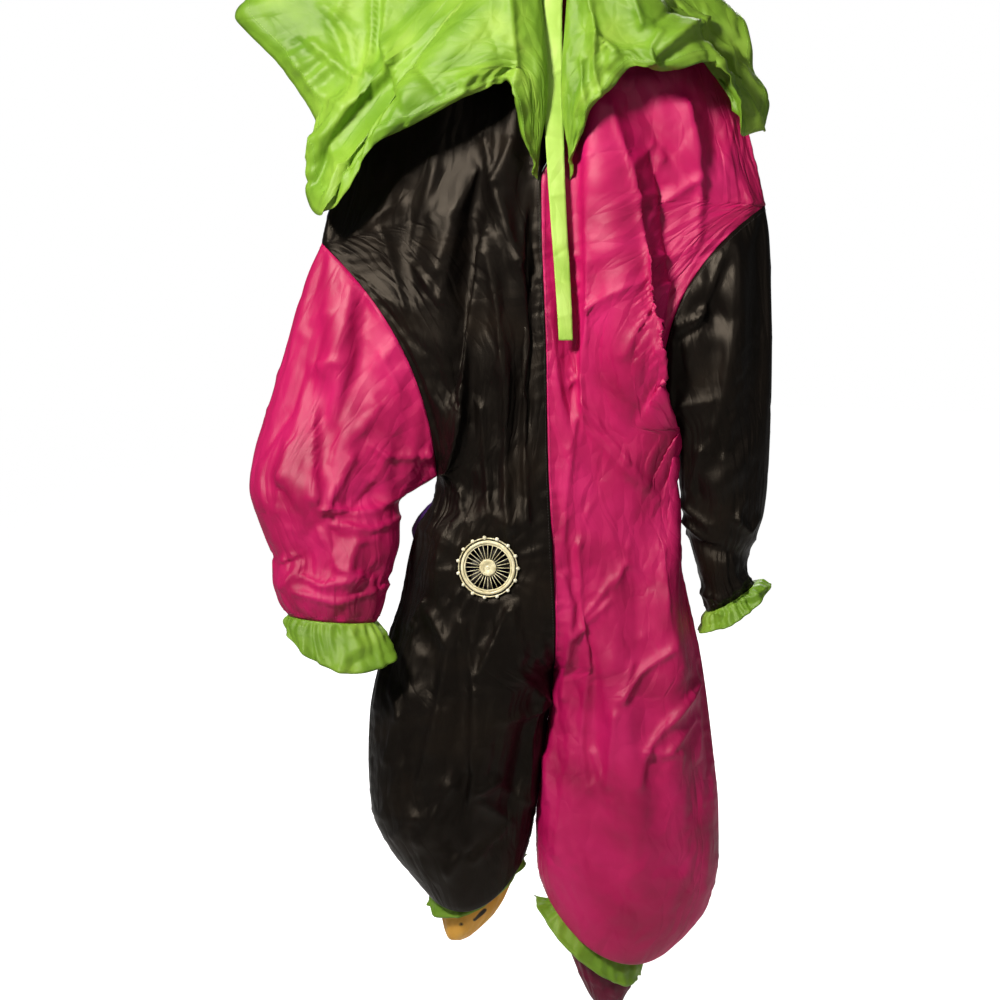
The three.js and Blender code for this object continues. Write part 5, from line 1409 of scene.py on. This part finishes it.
# The nubs take the paler plastic, a painted highlight on the same cream as the ring
nub = knob(BEZEL["nub"], BEZEL["front"] + 0.9)
nubs = ring_of("fan_nubs", BEZEL["nubs"], BEZEL["outer"] + 0.6, nub, lit_nub_plastic)
wire = bar(GRILLE["hub"] - WIRE_HELD, GRILLE["outer"] - 1, GRILLE["wire"],
           GRILLE["back"] + WIRE_INSET, GRILLE["front"] - WIRE_INSET)
wires = ring_of("fan_wires", GRILLE["wires"], AXIS, wire, cream_plastic)
RIM_PROFILE = [(34.3, 2.4), (36.6, 2.4), (36.7, 3.4), (36.2, 4.2), (34.9, 4.2), (34.3, 3.6)]
HUB_PROFILE = [(0.01, 2.3), (12.6, 2.3), (13.0, 3.2), (12.6, 4.3), (11.4, 4.7), (5.4, 4.9), (4.8, 4.3),
               (2.6, 4.3), (2.2, 4.9), (0.01, 5.0)]
points, faces = turned_shape(RIM_PROFILE, 96)
hub_points, hub_faces = turned_shape(HUB_PROFILE, 72, start=len(points))
points = np.concatenate([points, hub_points])
grille = raw_object("fan_grille_rim", to_fan(points), faces + hub_faces, cream_plastic)
outward(grille)
HUB_RIBS = {"count": 18, "from": 5.6, "to": 14.6, "width": 0.7, "low": 4.3, "high": 5.2}
rib = bar(HUB_RIBS["from"], HUB_RIBS["to"], HUB_RIBS["width"], HUB_RIBS["low"], HUB_RIBS["high"])
ribs = ring_of("fan_hub_ribs", HUB_RIBS["count"], AXIS, rib, cream_plastic)
for piece, node in ((bezel, "fan_bezel"), (nubs, "fan_bezel"), (grille, "fan_grille"),
                    (wires, "fan_grille"), (ribs, "fan_grille")):
    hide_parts(node)
    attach(piece, "suit")


# A blade: half its thickness, its pitch at the hub and how far it untwists, its width, sweep and cup
BLADE_HALF, BLADE_PITCH, BLADE_TWIST = 0.6, 40, 14
BLADE_WIDE, BLADE_SWELL, BLADE_SWEEP, BLADE_CUP, BLADE_TALL = 11, 7, 0.25, 1.2, 5.2


def blade_points(steps=10, ribs_across=6):
    """One fan blade: a thin twisted leaf from the hub outwards, as two facing sheets."""
    sheets = []
    for lift in (BLADE_HALF, -BLADE_HALF):
        for i in np.linspace(0, 1, steps):
            radius = ROTOR["hub"] - 2 + (ROTOR["reach"] - ROTOR["hub"] + 2) * i
            for j in np.linspace(-0.5, 0.5, ribs_across):
                pitch = math.radians(BLADE_PITCH - BLADE_TWIST * i)
                chord = BLADE_WIDE + BLADE_SWELL * math.sin(math.pi * min(i + 0.15, 1)) * 0.6
                along = chord * j * math.cos(pitch)
                rise = chord * j * math.sin(pitch) + lift * (1 - i * 0.4)
                turn = along / radius + BLADE_SWEEP * i
                middle = (ROTOR["back"] + ROTOR["front"]) / 2
                height = middle + np.clip(rise, -BLADE_TALL, BLADE_TALL) + BLADE_CUP * (j * j - 0.25)
                sheets.append((radius * math.cos(turn), radius * math.sin(turn), height))
    return sheets


def blade_faces(steps=10, ribs_across=6):
    """The faces of a blade's two sheets, and of the strip that joins their edges."""
    half = steps * ribs_across
    faces = []
    for i in range(steps - 1):
        for j in range(ribs_across - 1):
            a, b = i * ribs_across + j, (i + 1) * ribs_across + j
            faces.append((a, a + 1, b + 1, b))
            faces.append((half + a, half + b, half + b + 1, half + a + 1))
    edge = list(range(ribs_across))
    edge += [i * ribs_across + ribs_across - 1 for i in range(1, steps)]
    edge += [(steps - 1) * ribs_across + j for j in range(ribs_across - 2, -1, -1)]
    edge += [i * ribs_across for i in range(steps - 2, 0, -1)]
    for a, b in zip(edge, edge[1:] + edge[:1]):
        faces.append((a, half + a, half + b, b))
    return faces


# The blades and the rotor's hub are painted near black as shade inside the fan
blade = raw_object("shape", blade_points(), blade_faces(), recess_shade_plastic)
blades = ring_of("fan_blades", ROTOR["blades"], AXIS, blade, recess_shade_plastic)
outward(blades)
CAP_PROFILE = [(0.01, -20), (2.1, -20), (2.1, -14.6), (11.0, -14.5), (11.5, -13.5), (11.5, -6), (10.8, -5),
               (9, -4.6), (0.01, -4.5)]
points, faces = turned_shape(CAP_PROFILE, 60)
rotor_hub = raw_object("fan_rotor_hub", to_fan(points), faces, recess_shade_plastic)
outward(rotor_hub)
for piece in (blades, rotor_hub):
    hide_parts("fan_rotor")
    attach(piece, "rotor")
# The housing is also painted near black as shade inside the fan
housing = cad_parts["fan_housing"]
housing.data.materials.clear()
housing.data.materials.append(recess_shade_plastic)

# Stitching
# Rows of short thread stitches beside the centre seam, the armholes, the wrists and the collar's hem.
STITCH = {"long": 3.0, "thick": 0.75, "pitch": 4.6, "lift": 0.55}


def thread(name, colour):
    """Sewing thread with a little fuzz."""
    material, tree, shader = new_material(name)
    place = add_node(tree, "ShaderNodeTexCoord")
    fuzz = add_node(tree, "ShaderNodeTexNoise", {"Scale": 400})
    tree.links.new(place.outputs["Object"], fuzz.inputs["Vector"])
    shade = (*(0.7 * part for part in colour), 1)
    tint = add_node(tree, "ShaderNodeMixRGB", {"Color1": shade, "Color2": (*colour, 1)})
    tree.links.new(fuzz.outputs["Fac"], tint.inputs["Fac"])
    tree.links.new(tint.outputs["Color"], shader.inputs["Base Color"])
    set_inputs(shader, {"Roughness": 0.6})
    return material


def stitch_shape():
    """One stitch along z: a thin rounded bar."""
    half, thick = STITCH["long"] / 2, STITCH["thick"] / 2
    rings = ((-half, 0.4 * thick), (-half * 0.7, thick), (half * 0.7, thick), (half, 0.4 * thick))
    sides = 5
    points = [(r * math.cos(t) * MM, r * math.sin(t) * MM, z * MM) for z, r in rings
              for t in np.arange(sides) * 2 * np.pi / sides]
    return raw_object("stitch", points, tube_faces(len(rings), sides), None)


def stitched(name, lines, material):
    """Stitches spaced along lines by Geometry Nodes, as one joined mesh. Lines are points in millimetres."""
    curve = bpy.data.curves.new(name, "CURVE")
    curve.dimensions = "3D"
    for line in lines:
        spline = curve.splines.new("POLY")
        spline.points.add(len(line) - 1)
        spline.points.foreach_set("co", np.hstack([line * MM, np.ones((len(line), 1))]).ravel())
    path = new_object(name + "_path", curve)
    shape = stitch_shape()
    tree, given, inputs = node_group(name, {"Seam": "Object", "Stitch": "Object", "Pitch": "Float"})
    seam = tree.nodes.new("GeometryNodeObjectInfo")
    one = tree.nodes.new("GeometryNodeObjectInfo")
    spaced = add_node(tree, "GeometryNodeCurveToPoints", mode="LENGTH")
    copies = tree.nodes.new("GeometryNodeInstanceOnPoints")
    link = tree.links.new
    link(given.outputs["Seam"], seam.inputs["Object"])
    link(given.outputs["Stitch"], one.inputs["Object"])
    link(given.outputs["Pitch"], spaced.inputs["Length"])
    link(seam.outputs["Geometry"], spaced.inputs["Curve"])
    link(spaced.outputs["Points"], copies.inputs["Points"])
    link(spaced.outputs["Rotation"], copies.inputs["Rotation"])
    link(one.outputs["Geometry"], copies.inputs["Instance"])
    values = {"Seam": path, "Stitch": shape, "Pitch": STITCH["pitch"] * MM}
    stitches = made_real(name, tree, copies, material, inputs, values)
    bpy.data.objects.remove(path)
    bpy.data.objects.remove(shape)
    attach(stitches, "suit")


def on_cloth(name, row=None, column=None):
    """A line over a sewn piece, just clear of its face: one of its rows or columns of points."""
    grid, outs = seams[name]
    line, out = (grid[row], outs[row]) if row is not None else (grid[:, column], outs[:, column])
    line = line + out * STITCH["lift"]
    return np.concatenate([line, line[:1]]) if row is not None and name.startswith("sleeve") else line


black_thread = thread("black_thread", (0.03, 0.025, 0.022))
magenta_thread = thread("magenta_thread", (0.45, 0.01, 0.13))
lime_thread = thread("lime_thread", (0.30, 0.55, 0.06))
stitched("black_stitches", [on_cloth("front_right", column=1), on_cloth("sleeve_left", row=1),
                            on_cloth("sleeve_left", row=-3)], black_thread)
stitched("magenta_stitches", [on_cloth("front_left", column=1), on_cloth("sleeve_right", row=1),
                              on_cloth("sleeve_right", row=-3)], magenta_thread)
stitched("lime_stitches", [on_cloth("collar_right", row=-5), on_cloth("collar_left", row=-5)], lime_thread)

# Studio
# A pale floor well below the feet, a bright even surround and soft lamps above the front and behind.
FLOOR_Z, FLOOR_RADIUS, FLOOR_SIDES = -1.78, 12, 64


def soft_lamp(name, place, target, size, watts, colour=(1, 1, 1), spread=180):
    data = bpy.data.lights.new(name, "AREA")
    data.shape = "DISK"
    data.size = size
    data.energy = watts
    data.spread = math.radians(spread)
    data.color = colour
    lamp = new_object(name, data)
    lamp.location = place
    lamp.rotation_euler = (Vector(target) - Vector(place)).to_track_quat("-Z", "Y").to_euler()


edge = np.arange(FLOOR_SIDES) * 2 * np.pi / FLOOR_SIDES
floor_points = [(FLOOR_RADIUS * math.cos(a), FLOOR_RADIUS * math.sin(a), FLOOR_Z) for a in edge]
floor = raw_object("studio_floor", floor_points, [tuple(range(FLOOR_SIDES))], None)
floor_paint, floor_tree, floor_shader = new_material("floor_paint")
set_inputs(floor_shader, {
    "Base Color": (0.9, 0.9, 0.9, 1), "Roughness": 0.95, "Specular IOR Level": 0.1,
    "Emission Color": (1, 1, 1, 1),
})
floor_seen = add_node(floor_tree, "ShaderNodeLightPath")
floor_glow = add_node(floor_tree, "ShaderNodeMath", {1: 0.9}, operation="MULTIPLY")
floor_tree.links.new(floor_seen.outputs["Is Camera Ray"], floor_glow.inputs[0])
floor_tree.links.new(floor_glow.outputs["Value"], floor_shader.inputs["Emission Strength"])
floor.data.materials[0] = floor_paint
soft_lamp("key", (-1.3, -1.9, 0.8), (0, 0, -0.5), size=0.5, watts=24, colour=(1.0, 0.95, 0.88), spread=82)
soft_lamp("fill", (1.6, -2.2, 0.2), (0, 0, -0.6), size=0.9, watts=7, colour=(1.0, 0.93, 0.88))
soft_lamp("rear", (0.6, 2.8, 0.9), (0, 0, -0.7), size=1.6, watts=60)
bpy.context.scene.view_settings.view_transform = "Standard"
world = bpy.data.worlds.new("surround")
bpy.context.scene.world = world
world.use_nodes = True
sky = world.node_tree.nodes["Background"]
set_inputs(sky, {"Color": (1, 1, 1, 1)})
seen = add_node(world.node_tree, "ShaderNodeLightPath")
amount = add_node(world.node_tree, "ShaderNodeMapRange", {"To Min": 0.11, "To Max": 1.0})
world.node_tree.links.new(seen.outputs["Is Camera Ray"], amount.inputs["Value"])
world.node_tree.links.new(amount.outputs["Result"], sky.inputs["Strength"])
